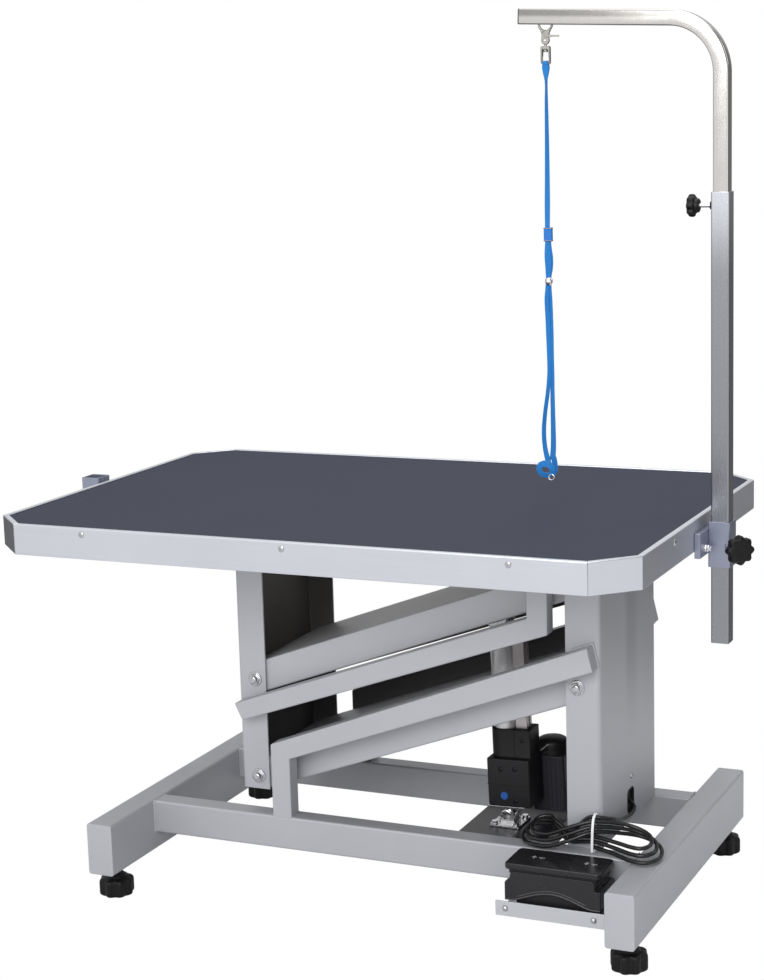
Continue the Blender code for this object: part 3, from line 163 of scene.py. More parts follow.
def brushed(name, color, rough, scale, metal=1.0, depth=0.10, spread=0.12, tones=0.05, rot=(0, 0, 0)):
    m, nt, b = base(name, color, rough, metal)
    g = grain(nt, scale, 1.0, 3, 0.6, rot=rot)
    slow = grain(nt, (1, 1, 1), 5, 3)
    add = put(nt, "ShaderNodeMath", operation="ADD")
    half = put(nt, "ShaderNodeMath", operation="MULTIPLY")
    half.inputs[1].default_value = 0.5
    nt.links.new(g, add.inputs[0])
    nt.links.new(slow, add.inputs[1])
    nt.links.new(add.outputs[0], half.inputs[0])
    tint(nt, b, color, half.outputs[0], 1 - tones * 2, 1 + tones * 2)
    nt.links.new(span(nt, g, rough - spread / 2, rough + spread / 2), b.inputs["Roughness"])
    bump(nt, b, g, depth, 0.0002)
    return m


def steel(name, color, rough, metal=1.0):
    m, nt, b = base(name, color, rough, metal)
    tint(nt, b, color, grain(nt, (1, 1, 1), 60, 3), 0.93, 1.05)
    nt.links.new(span(nt, grain(nt, (1, 1, 1), 220, 2), rough - 0.05, rough + 0.08), b.inputs["Roughness"])
    bump(nt, b, grain(nt, (1, 1, 1), 700, 2), 0.05, 0.0002)
    return m


def plastic(name, color, rough, texture=0.12, size=1400, spec=0.5):
    m, nt, b = base(name, color, rough, 0.0, spec)
    tint(nt, b, color, grain(nt, (1, 1, 1), 25, 3), 0.85, 1.15)
    nt.links.new(span(nt, grain(nt, (1, 1, 1), 60, 3), rough - 0.06, rough + 0.08), b.inputs["Roughness"])
    bump(nt, b, grain(nt, (1, 1, 1), size, 2), texture, 0.0003)
    return m


def shade_side(m, d, keep):
    """Dims the faces that look along d, where the polished sheet mirrors the dark side of the room."""
    nt = m.node_tree
    b = [n for n in nt.nodes if n.type == "BSDF_PRINCIPLED"][0]
    src = b.inputs["Base Color"].links[0].from_socket
    geo = put(nt, "ShaderNodeNewGeometry")
    dot = put(nt, "ShaderNodeVectorMath", operation="DOT_PRODUCT")
    nt.links.new(geo.outputs["True Normal"], dot.inputs[0])
    dot.inputs[1].default_value = d
    f = span(nt, dot.outputs["Value"], 1.0, keep, 0.90, 0.99)
    sc = put(nt, "ShaderNodeVectorMath", operation="SCALE")
    nt.links.new(src, sc.inputs[0])
    nt.links.new(f, sc.inputs["Scale"])
    nt.links.new(sc.outputs[0], b.inputs["Base Color"])


# ---------------------------------------------------------------- materials
GREY = lin(172, 173, 178)
M = {}
M["paint"] = paint("frame_paint", GREY)
# painted shade: a darker copy of the frame paint for faces that sit in shadow (channel hollows, arm interiors, faces
# under and between the braces)
M["shadow"] = paint("frame_painted_shade", lin(84, 82, 81), 0.6, 0.0)
M["black_paint"] = paint("black_paint", lin(34, 34, 38), 0.30, 0.1)
M["chrome"] = steel("chrome", (0.80, 0.80, 0.82), 0.16)
M["bolt"] = steel("bolt_steel", (0.50, 0.50, 0.52), 0.24)
M["zinc"] = steel("zinc_plate", (0.62, 0.62, 0.63), 0.26)
M["screw"] = steel("screw_head", (0.52, 0.52, 0.54), 0.24)
M["apron"] = brushed("apron_brushed", lin(203, 205, 212), 0.36, (3, 3, 900), 0.80, 0.12, 0.14, 0.07)
# painted highlight: a lighter copy of the apron finish for the faces that look up
M["lip"] = brushed("apron_lip_highlight", lin(222, 225, 232), 0.30, (40, 40, 40), 0.75, 0.06, 0.1, 0.03)
shade_side(M["apron"], (-0.7071, -0.7071, 0.0), 0.36)
M["socket"] = brushed("socket_steel", lin(146, 151, 168), 0.36, (260, 260, 40), 0.75, 0.08, 0.1, 0.04)
M["tube"] = brushed("actuator_tube", lin(244, 243, 244), 0.34, (6, 6, 500), 0.34, 0.06, 0.1, 0.03)
M["profile"] = brushed("actuator_profile", lin(214, 206, 206), 0.40, (700, 700, 6), 0.5, 0.06, 0.1, 0.03)
M["tray"] = paint("tray_paint", lin(188, 190, 194), 0.36, 0.35)
M["black"] = plastic("black_plastic", lin(24, 24, 26), 0.46, spec=0.32)
M["motor"] = plastic("motor_plastic", lin(44, 42, 50), 0.50, spec=0.3)
M["hook"] = steel("hook_steel", lin(150, 149, 143), 0.30)
M["knob"] = plastic("knob_plastic", lin(11, 11, 12), 0.44, 0.2, 1100, 0.28)
M["gloss"] = plastic("switch_plastic", lin(27, 25, 28), 0.27, 0.10, 1500, 0.42)
# painted highlight: a lighter grey copy of the pedal plastic for the hump's raised rims
M["edge"] = plastic("switch_edge_highlight", lin(70, 67, 72), 0.30, 0.10, 1500)
M["cable"] = plastic("cable_jacket", lin(21, 21, 23), 0.27, 0.08, 900, 0.5)
M["white"] = plastic("tie_white", lin(232, 232, 236), 0.5, 0.2, 1200)
M["blue_dot"] = plastic("blue_cover", lin(36, 84, 158), 0.4, 0.1, 900)
M["blue"] = plastic("blue_plastic", lin(22, 108, 190), 0.32, 0.08, 900)
M["mark"] = plastic("mark_grey", lin(150, 150, 154), 0.5, 0.1, 900)
M["endcap"] = plastic("end_cap", lin(56, 56, 58), 0.4, 0.1, 900)


def make_rubber():
    color = lin(54, 57, 69)
    m, nt, b = base("mat_rubber", color, 0.74, 0.0, 0.16)
    pebble = grain(nt, (1, 1, 1), 330, kind="voronoi")
    fine = grain(nt, (1, 1, 1), 900, 3)
    broad = grain(nt, (1, 1, 1), 6, 4)
    tint(nt, b, color, broad, 0.93, 1.07)
    nt.links.new(span(nt, fine, 0.62, 0.84), b.inputs["Roughness"])
    p = bump(nt, b, pebble, 0.35, 0.0006)
    bump(nt, b, fine, 0.25, 0.0003, p)
    return m


def make_webbing():
    color = lin(18, 122, 200)
    m, nt, b = base("webbing", color, 0.62, 0.0, 0.3)
    v = coords(nt, (1, 1, 1))
    waves = []
    for rot in (0.9, -0.9):
        mp = put(nt, "ShaderNodeMapping")
        mp.inputs["Rotation"].default_value = (0, rot, 0)
        nt.links.new(v, mp.inputs["Vector"])
        w = put(nt, "ShaderNodeTexWave", Scale=170.0, Distortion=0.6)
        w.bands_direction = "Z"
        nt.links.new(mp.outputs[0], w.inputs["Vector"])
        waves.append(w.outputs["Fac"])
    mul = put(nt, "ShaderNodeMath", operation="MULTIPLY")
    nt.links.new(waves[0], mul.inputs[0])
    nt.links.new(waves[1], mul.inputs[1])
    tint(nt, b, color, mul.outputs[0], 0.72, 1.25)
    b.inputs["Sheen Weight"].default_value = 0.3
    bump(nt, b, mul.outputs[0], 0.5, 0.0004)
    return m


def make_wood():
    color = lin(206, 202, 194)
    m, nt, b = base("board_wood", color, 0.65, 0.0, 0.3)
    g = grain(nt, (1.2, 14, 260), 3.0, 5, 0.6)
    tint(nt, b, color, g, 0.70, 1.25)
    bump(nt, b, g, 0.2, 0.0004)
    return m


def make_banded():
    """Column paint with painted shade: a soft darker band along its height in the middle of the side, a little darker
    toward the rear, fading out toward the bottom.
    """
    m, nt, b = base("column_paint_shaded", GREY, 0.40, 0.25, 0.45)
    tc = put(nt, "ShaderNodeTexCoord")
    sep = put(nt, "ShaderNodeSeparateXYZ")
    nt.links.new(tc.outputs["Object"], sep.inputs[0])
    ramp = put(nt, "ShaderNodeValToRGB")
    nt.links.new(span(nt, sep.outputs["Y"], 0.0, 1.0, -0.146, 0.146), ramp.inputs["Fac"])
    cr = ramp.color_ramp
    cr.elements[0].position, cr.elements[0].color = 0.0, (1, 1, 1, 1)
    cr.elements[1].position, cr.elements[1].color = 1.0, (0.93, 0.93, 0.93, 1)
    for p, v in ((0.42, 0.99), (0.50, 0.80), (0.60, 0.82), (0.68, 0.96)):
        e = cr.elements.new(p)
        e.color = (v, v, v, 1)
    lower = span(nt, sep.outputs["Z"], 0.0, 1.0, 0.26, 0.42)
    mixed = put(nt, "ShaderNodeMix")
    mixed.data_type = "FLOAT"
    nt.links.new(lower, mixed.inputs[0])
    mixed.inputs[2].default_value = 0.97
    nt.links.new(ramp.outputs["Color"], mixed.inputs[3])
    slow = span(nt, grain(nt, (1, 1, 1), 9, 4), 0.96, 1.04)
    mul = put(nt, "ShaderNodeMath", operation="MULTIPLY")
    nt.links.new(mixed.outputs[0], mul.inputs[0])
    nt.links.new(slow, mul.inputs[1])
    sc = put(nt, "ShaderNodeVectorMath", operation="SCALE")
    sc.inputs[0].default_value = GREY
    nt.links.new(mul.outputs[0], sc.inputs["Scale"])
    nt.links.new(sc.outputs[0], b.inputs["Base Color"])
    bump(nt, b, grain(nt, (1, 1, 1), 900, 2), 0.10, 0.0003)
    return m


def make_pole():
    """Brushed square tube with painted light: its colour grows lighter toward its top."""
    m, nt, b = base("pole_brushed", lin(176, 175, 173), 0.28, 0.95)
    g = grain(nt, (900, 900, 4), 1.0, 3, 0.6)
    streak = span(nt, g, 0.97, 1.03)
    tc = put(nt, "ShaderNodeTexCoord")
    sep = put(nt, "ShaderNodeSeparateXYZ")
    nt.links.new(tc.outputs["Object"], sep.inputs[0])
    # painted light: a lighter colour toward the top of the tube
    high = put(nt, "ShaderNodeMapRange", interpolation_type="SMOOTHSTEP")
    high.inputs["From Min"].default_value, high.inputs["From Max"].default_value = 1.02, 1.16
    high.inputs["To Min"].default_value, high.inputs["To Max"].default_value = 0.80, 1.42
    nt.links.new(sep.outputs["Z"], high.inputs["Value"])
    mul = put(nt, "ShaderNodeMath", operation="MULTIPLY")
    nt.links.new(streak, mul.inputs[0])
    nt.links.new(high.outputs["Result"], mul.inputs[1])
    sc = put(nt, "ShaderNodeVectorMath", operation="SCALE")
    sc.inputs[0].default_value = lin(163, 164, 169)
    nt.links.new(mul.outputs[0], sc.inputs["Scale"])
    nt.links.new(sc.outputs[0], b.inputs["Base Color"])
    nt.links.new(span(nt, g, 0.24, 0.31), b.inputs["Roughness"])
    bump(nt, b, g, 0.04, 0.0002)
    return m


def make_polished():
    """Polished square tube: its level run mirrors a darker upper half than lower half."""
    m, nt, b = base("arm_polished", lin(214, 211, 207), 0.13, 1.0)
    tc = put(nt, "ShaderNodeTexCoord")
    sep = put(nt, "ShaderNodeSeparateXYZ")
    nt.links.new(tc.outputs["Object"], sep.inputs[0])
    slope = put(nt, "ShaderNodeMath", operation="MULTIPLY_ADD")
    slope.inputs[1].default_value = math.tan(RISE)
    slope.inputs[2].default_value = -1.4239 - math.tan(RISE) * (0.4957 - 0.0215)
    nt.links.new(sep.outputs["X"], slope.inputs[0])
    off = put(nt, "ShaderNodeMath", operation="ADD")
    nt.links.new(slope.outputs[0], off.inputs[0])
    nt.links.new(sep.outputs["Z"], off.inputs[1])
    half = put(nt, "ShaderNodeMapRange", interpolation_type="SMOOTHSTEP")
    half.inputs["From Min"].default_value, half.inputs["From Max"].default_value = -0.003, 0.004
    nt.links.new(off.outputs[0], half.inputs["Value"])
    near = put(nt, "ShaderNodeMapRange", interpolation_type="SMOOTHSTEP")
    near.inputs["From Min"].default_value, near.inputs["From Max"].default_value = 0.53, 0.46
    near.inputs["To Min"].default_value, near.inputs["To Max"].default_value = 0.0, 0.50
    nt.links.new(sep.outputs["X"], near.inputs["Value"])
    painted_dark = put(nt, "ShaderNodeMath", operation="MULTIPLY")
    nt.links.new(half.outputs["Result"], painted_dark.inputs[0])
    nt.links.new(near.outputs["Result"], painted_dark.inputs[1])
    keep = put(nt, "ShaderNodeMath", operation="SUBTRACT")
    keep.inputs[0].default_value = 1.0
    nt.links.new(painted_dark.outputs[0], keep.inputs[1])
    streak = span(nt, grain(nt, (300, 300, 12), 1.0, 3, 0.6), 0.96, 1.04)
    mul = put(nt, "ShaderNodeMath", operation="MULTIPLY")
    nt.links.new(keep.outputs[0], mul.inputs[0])
    nt.links.new(streak, mul.inputs[1])
    sc = put(nt, "ShaderNodeVectorMath", operation="SCALE")
    sc.inputs[0].default_value = lin(214, 211, 207)
    nt.links.new(mul.outputs[0], sc.inputs["Scale"])
    nt.links.new(sc.outputs[0], b.inputs["Base Color"])
    nt.links.new(span(nt, grain(nt, (1, 1, 1), 40, 2), 0.10, 0.17), b.inputs["Roughness"])
    return m


M["polished"] = make_polished()
M["pole"] = make_pole()
M["rubber"] = make_rubber()
M["webbing"] = make_webbing()
M["wood"] = make_wood()
M["column"] = make_banded()


# ---------------------------------------------------------------- mesh helpers
def tidy(mesh, dist=1e-5):
    bm = bmesh.new()
    bm.from_mesh(mesh)
    bmesh.ops.remove_doubles(bm, verts=bm.verts, dist=dist)
    bmesh.ops.recalc_face_normals(bm, faces=bm.faces)
    bm.to_mesh(mesh)
    bm.free()
    return mesh


def soften(mesh, width, segs=3, angle=28):
    bm = bmesh.new()
    bm.from_mesh(mesh)
    bmesh.ops.remove_doubles(bm, verts=bm.verts, dist=1e-5)
    bmesh.ops.dissolve_limit(bm, angle_limit=math.radians(0.5), verts=bm.verts, edges=bm.edges)
    edges = [e for e in bm.edges if len(e.link_faces) == 2 and e.calc_face_angle(0) > math.radians(angle)]
    bmesh.ops.bevel(bm, geom=edges, offset=width, offset_type="OFFSET", segments=segs, profile=0.5, affect="EDGES",
                    clamp_overlap=True)
    bmesh.ops.recalc_face_normals(bm, faces=bm.faces)
    bm.to_mesh(mesh)
    bm.free()
    return mesh


def outline(loops, depth, place):
    cu = bpy.data.curves.new("outline", "CURVE")
    cu.dimensions = "2D"
    cu.fill_mode = "BOTH"
    cu.extrude = depth / 2
    cu.render_resolution_u = 0
    for loop in loops:
        sp = cu.splines.new("POLY")
        sp.points.add(len(loop) - 1)
        for pt, (x, y) in zip(sp.points, loop):
            pt.co = (x, y, 0.0, 1.0)
        sp.use_cyclic_u = True
    tmp = bpy.data.objects.new("outline_tmp", cu)
    bpy.context.scene.collection.objects.link(tmp)
    bpy.context.view_layer.update()
    mesh = bpy.data.meshes.new_from_object(tmp)
    bpy.data.objects.remove(tmp, do_unlink=True)
    mesh.transform(place)
    return tidy(mesh)


def in_xz(loops, y0, y1):
    return outline(loops, y1 - y0, Matrix.Translation((0, (y0 + y1) / 2, 0)) @ Matrix.Rotation(math.radians(90), 4, "X"))


def in_yz(loops, x0, x1):
    return outline(loops, x1 - x0, Matrix.Translation(((x0 + x1) / 2, 0, 0)) @ Matrix(
        ((0, 0, 1, 0), (1, 0, 0, 0), (0, 1, 0, 0), (0, 0, 0, 1))))


def in_xy(loops, z0, z1):
    return outline(loops, z1 - z0, Matrix.Translation((0, 0, (z0 + z1) / 2)))


def rect(x0, x1, y0, y1, r=0.0, n=6):
    if r <= 0:
        return [(x0, y0), (x1, y0), (x1, y1), (x0, y1)]
    pts = []
    for cx, cy, a0 in ((x1 - r, y0 + r, -90), (x1 - r, y1 - r, 0), (x0 + r, y1 - r, 90), (x0 + r, y0 + r, 180)):
        for i in range(n + 1):
            a = math.radians(a0 + 90 * i / n)
            pts.append((cx + r * math.cos(a), cy + r * math.sin(a)))
    return pts


def arc(cx, cy, r, a0, a1, n):
    return [(cx + r * math.cos(math.radians(a0 + (a1 - a0) * i / n)),
             cy + r * math.sin(math.radians(a0 + (a1 - a0) * i / n))) for i in range(n + 1)]


def ring_pts(cx, cy, r, n):
    return arc(cx, cy, r, 0, 360, n)[:-1]


def box(x0, x1, y0, y1, z0, z1):
    mesh = bpy.data.meshes.new("box")
    bm = bmesh.new()
    bmesh.ops.create_cube(bm, size=1.0, matrix=Matrix.Translation(((x0 + x1) / 2, (y0 + y1) / 2, (z0 + z1) / 2))
                          @ Matrix.Diagonal((x1 - x0, y1 - y0, z1 - z0, 1)))
    bm.to_mesh(mesh)
    bm.free()
    return mesh


TURN = {"Z": Matrix.Identity(4), "Y": Matrix.Rotation(math.radians(-90), 4, "X"),
        "-Y": Matrix.Rotation(math.radians(90), 4, "X"), "X": Matrix.Rotation(math.radians(90), 4, "Y"),
        "-X": Matrix.Rotation(math.radians(-90), 4, "Y")}


def at(x, y, z, axis="Z"):
    return Matrix.Translation((x, y, z)) @ TURN[axis]


def lathe(profile, place=None, n=40, wave=None):
    """Profile of (radius, height[, lobe depth]) turned about Z; wave(angle) scales the lobe depth."""
    bm = bmesh.new()
    rings = []
    for row in profile:
        r, z = row[0], row[1]
        w = row[2] if len(row) > 2 else 0.0
        if r < 1e-7:
            rings.append([bm.verts.new((0, 0, z))])
        else:
            ring = []
            for i in range(n):
                a = 2 * math.pi * i / n
                q = r + (w * wave(a) if w and wave else 0.0)
                ring.append(bm.verts.new((q * math.cos(a), q * math.sin(a), z)))
            rings.append(ring)
    for a, b in zip(rings, rings[1:]):
        for i in range(n):
            j = (i + 1) % n
            if len(a) == 1 and len(b) > 1:
                bm.faces.new((a[0], b[i], b[j]))
            elif len(b) == 1 and len(a) > 1:
                bm.faces.new((a[i], b[0], a[j]))
            elif len(a) > 1:
                bm.faces.new((a[i], a[j], b[j], b[i]))
    bmesh.ops.recalc_face_normals(bm, faces=bm.faces)
    mesh = bpy.data.meshes.new("lathe")
    bm.to_mesh(mesh)
    bm.free()
    if place is not None:
        mesh.transform(place)
    return mesh


def wire(points, r, res=3, cyclic=False):
    cu = bpy.data.curves.new("wire", "CURVE")
    cu.dimensions = "3D"
    cu.bevel_depth = r
    cu.bevel_resolution = res
    cu.use_fill_caps = True
    cu.render_resolution_u = 0
    sp = cu.splines.new("POLY")
    sp.points.add(len(points) - 1)
    for pt, p in zip(sp.points, points):
        pt.co = (*p, 1.0)
    sp.use_cyclic_u = cyclic
    tmp = bpy.data.objects.new("wire_tmp", cu)
    bpy.context.scene.collection.objects.link(tmp)
    bpy.context.view_layer.update()
    mesh = bpy.data.meshes.new_from_object(tmp)
    bpy.data.objects.remove(tmp, do_unlink=True)
    return tidy(mesh)


def smooth(points, n, cyclic=False):
    if cyclic:
        ends = [points[-1]] + list(points) + [points[0], points[1]]
    else:
        ends = [points[0]] + list(points) + [points[-1]]
    out = []
    for p0, p1, p2, p3 in zip(ends, ends[1:], ends[2:], ends[3:]):
        for j in range(n):
            t = j / n
            out.append(tuple(0.5 * (2 * b + (c - a) * t + (2 * a - 5 * b + 4 * c - d) * t * t
                                    + (3 * b - a - 3 * c + d) * t ** 3) for a, b, c, d in zip(p0, p1, p2, p3)))
    return out if cyclic else out + [points[-1]]


def loft(loops, caps=True, cyclic=False):
    """Skin through loops of 3-D points."""
    bm = bmesh.new()
    rows = [[bm.verts.new(p) for p in loop] for loop in loops]
    n = len(rows[0])
    pairs = list(zip(rows, rows[1:])) + ([(rows[-1], rows[0])] if cyclic else [])
    for a, b in pairs:
        for i in range(n):
            j = (i + 1) % n
            bm.faces.new((a[i], a[j], b[j], b[i]))
    if caps and not cyclic:
        bm.faces.new(rows[0][::-1])
        bm.faces.new(rows[-1])
    bmesh.ops.recalc_face_normals(bm, faces=bm.faces)
    mesh = bpy.data.meshes.new("loft")
    bm.to_mesh(mesh)
    bm.free()
    return mesh


def ribbon(points, widths, thick, sides):
    """Flat band through points; sides gives the width direction at each point."""
    pts = [Vector(p) for p in points]
    loops = []
    for i, p in enumerate(pts):
        t = (pts[min(i + 1, len(pts) - 1)] - pts[max(i - 1, 0)]).normalized()
        w = Vector(sides[i])
        w = (w - t * w.dot(t)).normalized()
        n = t.cross(w)
        hw, ht = widths[i] / 2, thick / 2
        r = ht * 0.9
        loops.append([p + w * a + n * b for a, b in rect(-hw, hw, -ht, ht, r, 3)])
    return loft(loops)


def join(*meshes):
    bm = bmesh.new()
    for m in meshes:
        bm.from_mesh(m)
    out = bpy.data.meshes.new("joined")
    bm.to_mesh(out)
    bm.free()
    return out


def moved(mesh, m):
    mesh.transform(m)
    return mesh


def cut(mesh, *tools, op="DIFFERENCE"):
    """Exact booleans, done at once."""
    o = bpy.data.objects.new("cut_tmp", mesh)
    bpy.context.scene.collection.objects.link(o)
    temps = []
    for i, t in enumerate(tools):
        c = bpy.data.objects.new("cut_tool%d" % i, t)
        bpy.context.scene.collection.objects.link(c)
        temps.append(c)
        md = o.modifiers.new("b%d" % i, "BOOLEAN")
        md.operation = op
        md.solver = "EXACT"
        md.object = c
    bpy.context.view_layer.update()
    out = bpy.data.meshes.new_from_object(o.evaluated_get(bpy.context.evaluated_depsgraph_get()))
    for c in temps + [o]:
        bpy.data.objects.remove(c, do_unlink=True)
    return tidy(out, 1e-6)


def add(name, mesh, mat, body, gone=(), angle=35, painted_shade_test=None, weighted=True):
    """A finished visual piece: placed, shaded, riding on its body."""
    mesh.transform(SHIFT)
    mesh.materials.clear()
    mesh.materials.append(M[mat])
    o = bpy.data.objects.new(name, mesh)
    bpy.context.scene.collection.objects.link(o)
    # painted shade: faces that the test picks take the shadow material
    if painted_shade_test is not None:
        mesh.materials.append(M["shadow"])
        for p in mesh.polygons:
            if painted_shade_test(p.center - SHIFT.translation, p.normal):
                p.material_index = 1
    for p in mesh.polygons:
        p.use_smooth = True
    mesh.set_sharp_from_angle(angle=math.radians(angle))
    if weighted:
        w = o.modifiers.new("weighted", "WEIGHTED_NORMAL")
        w.keep_sharp = True
    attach(o, body)
    if gone:
        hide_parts(*([gone] if isinstance(gone, str) else gone))
    OUT.append(o)
    return o


def cyl(r, a0, a1, place, n=32, r2=None, edge=0.0):
    r2 = r if r2 is None else r2
    if edge:
        prof = [(0, a0), (r - edge, a0), (r, a0 + edge), (r2, a1 - edge), (r2 - edge, a1), (0, a1)]
    else:
        prof = [(0, a0), (r, a0), (r2, a1), (0, a1)]
    return lathe(prof, place, n)


def thread(r, z0, z1, pitch=0.0015, depth=0.0003):
    """Profile rows of a threaded length."""
    rows, z = [], z0
    while z < z1 - 1e-9:
        rows += [(r - depth, z), (r, min(z + pitch * 0.5, z1))]
        z += pitch
    return rows + [(r - depth, z1)]


def pan_head(r, h, place, slot=True):
    prof = [(0, h), (r * 0.45, h * 0.95), (r * 0.75, h * 0.75), (r * 0.93, h * 0.42), (r, 0.0), (0, 0)]
    head = lathe(prof, None, 28)
    if slot:
        d = r * 0.16
        head = cut(head, box(-r * 0.55, r * 0.55, -d, d, h * 0.55, h * 2), box(-d, d, -r * 0.55, r * 0.55, h * 0.55, h * 2))
    return moved(head, place)


def lobes(k, sharp=0.18):
    def f(a):
        c = math.cos(k * a)
        return c + sharp * (1 - c * c) * 0.8
    return f


def bead_line(points, r, seed=0):
    """A weld bead: a wire whose points wander a little."""
    out = []
    for i, p in enumerate(points):
        v = Vector(p)
        out.append(v + noise.noise_vector(v * 180 + Vector((seed, 0, 0))) * r * 0.22)
    return wire([tuple(p) for p in out], r, 2)


def line(a, b, n):
    a, b = Vector(a), Vector(b)
    return [tuple(a.lerp(b, i / n)) for i in range(n + 1)]


# ---------------------------------------------------------------- base frame
for side, (x0, x1) in zip(("left", "right"), FOOT_X):
    w, xm = 0.0025, (x0 + x1) / 2
    tube = in_xz([rect(x0, x1, FOOT_Z[0], FOOT_Z[1], 0.0048, 7)], -FOOT_HY, FOOT_HY)
    tube = soften(tube, 0.0012, 3, 60)
    tube = cut(tube, box(x0 + w, x1 - w, -FOOT_HY + w, FOOT_HY - w, FOOT_Z[0] + w, FOOT_Z[1] - w),
               cyl(0.0062, FOOT_Z[0] - 0.01, FOOT_Z[0] + 0.02, at(xm, -KNOB_Y, 0)),
               cyl(0.0062, FOOT_Z[0] - 0.01, FOOT_Z[0] + 0.02, at(xm, KNOB_Y, 0)))
    add(side + "_foot_tube", tube, "paint", "base", side + "_cross_foot", 30)

for name, s in (("front", 1), ("rear", -1)):
    y0, y1 = sorted((s * RAIL_Y[0], s * RAIL_Y[1]))
    rail = in_yz([rect(y0, y1, RAIL_Z[0], RAIL_Z[1], 0.0040, 7)], FOOT_X[0][1] - 0.0006, FOOT_X[1][0] + 0.0006)
    add(name + "_rail_tube", rail, "paint", "base", name + "_rail", 30)
    for j, (fx, dx) in enumerate(((FOOT_X[0][1], 1), (FOOT_X[1][0], -1))):
        loop = rect(y0 - 0.0003, y1 + 0.0003, RAIL_Z[0] - 0.0003, min(RAIL_Z[1] + 0.0003, FOOT_Z[1] - 0.0008), 0.004, 4)
        pts = smooth([(fx + dx * 0.0004, a, b) for a, b in loop], 2, True)
        add("%s_rail_weld_%d" % (name, j), bead_line(pts + [pts[0]], 0.0017, j), "paint", "base", (), 60)

t = 0.005
plate = in_xz([[(PLATE_X[0], PLATE_Z), (PLATE_X[0], 0.082), (PLATE_X[0] + t, 0.082), (PLATE_X[0] + t, PLATE_Z - t),
                (PLATE_X[1] - t, PLATE_Z - t), (PLATE_X[1] - t, 0.082), (PLATE_X[1], 0.082), (PLATE_X[1], PLATE_Z)]],
              RAIL_Y[1] - 0.0003, -RAIL_Y[1] + 0.0003)
add("cross_plate", soften(plate, 0.0014), "black_paint", "base", "base_plate")

bx, bz = ACT0
ears = [soften(box(bx - 0.026, bx + 0.026, -0.0300, 0.0300, PLATE_Z + GAP, PLATE_Z + 0.004), 0.0008)]
for s in (-1, 1):
    y0, y1 = sorted((s * 0.0108, s * 0.0158))
    ear = in_xz([[(bx - 0.013, PLATE_Z + 0.002), (bx + 0.013, PLATE_Z + 0.002)] + arc(bx, bz, 0.013, 0, 180, 20),
                 ring_pts(bx, bz, 0.0053, 24)], y0, y1)
    ears.append(soften(ear, 0.0006, 2))
add("lower_clevis", join(*ears), "zinc", "base", "actuator_clevis")
for i, (dx, dy) in enumerate(((-0.019, -0.022), (0.019, -0.022), (-0.019, 0.022), (0.019, 0.022))):
    head = join(soften(outline([ring_pts(0, 0, 0.0058, 6)], 0.0042, Matrix.Translation((0, 0, 0.0031))), 0.0005, 2),
                cyl(0.0075, 0.0, 0.0011, None, 32, None, 0.0003))
    add("clevis_bolt_%d" % i, moved(head, at(bx + dx, dy, PLATE_Z + 0.004)), "chrome", "base")
pin = lathe([(0, 0.0212), (0.0072, 0.0212), (0.0085, 0.0204), (0.0085, 0.0164), (0.0050, 0.0162), (0.0050, -0.0162),
             (0.0085, -0.0164), (0.0085, -0.0204), (0.0072, -0.0212), (0, -0.0212)], at(bx, 0, bz, "Y"), 40)
add("clevis_pin_turned", pin, "chrome", "base", "clevis_pin")


def column_inside(x0, x1, hy, out):
    """Faces of the channel's hollow side, which take the painted-shade colour; out is +1 when the web faces +x."""
    def test(c, n):
        if abs(n.z) > 0.5 or (abs(c.y) > hy - 1.01 * CW and abs(n.y) < 0.5):
            return False
        return n.x * out + n.y * (1 if c.y > 0 else -1) < -0.05
    return test


x0, x1 = RCX
hy, rr, w = RCY, 0.010, CW
col = ([(x0, -hy), (x1 - rr, -hy)] + arc(x1 - rr, -hy + rr, rr, -90, 0, 10)[1:] + arc(x1 - rr, hy - rr, rr, 0, 90, 10)
       + [(x0, hy), (x0, hy - w)] + arc(x1 - rr, hy - rr, rr - w, 90, 0, 8)
       + arc(x1 - rr, -hy + rr, rr - w, 0, -90, 8) + [(x0, -hy + w)])
rcol = in_xy([col], RCZ[0] - 0.0004, RCZ[1])
rcol = soften(rcol, 0.0007, 2, 60)
rcol = cut(rcol, in_yz([rect(-0.014, 0.022, 0.150, 0.192, 0.010, 8)], x1 - 0.008, x1 + 0.008),
           *[cyl(0.0064, -0.2, 0.2, at(px, 0, pz, "Y")) for px, pz in (R0, R1)])
add("right_column_sheet", rcol, "column", "base", "right_column", 30, column_inside(x0, x1, hy, 1))
# sleeve of the cable slot and its screw
rim_out, rim_in = rect(-0.0138, 0.0218, 0.1502, 0.1918, 0.0098, 8), rect(-0.0118, 0.0198, 0.1522, 0.1898, 0.0080, 8)
add("slot_edge", soften(in_yz([rim_out, rim_in], x1 - 0.0038, x1 + 0.0006), 0.0004, 2), "black", "base")
add("slot_grommet", soften(in_yz([rect(-0.0145, 0.0225, 0.1495, 0.1925, 0.0105, 8), ring_pts(0.0038, 0.1698, 0.0036, 24)], x1 - 0.0075, x1 - 0.0045), 0.0005, 2),
    "black", "base")
add("column_screw", pan_head(0.0055, 0.0026, at(x1, 0.0107, 0.2110, "X")), "screw", "base")

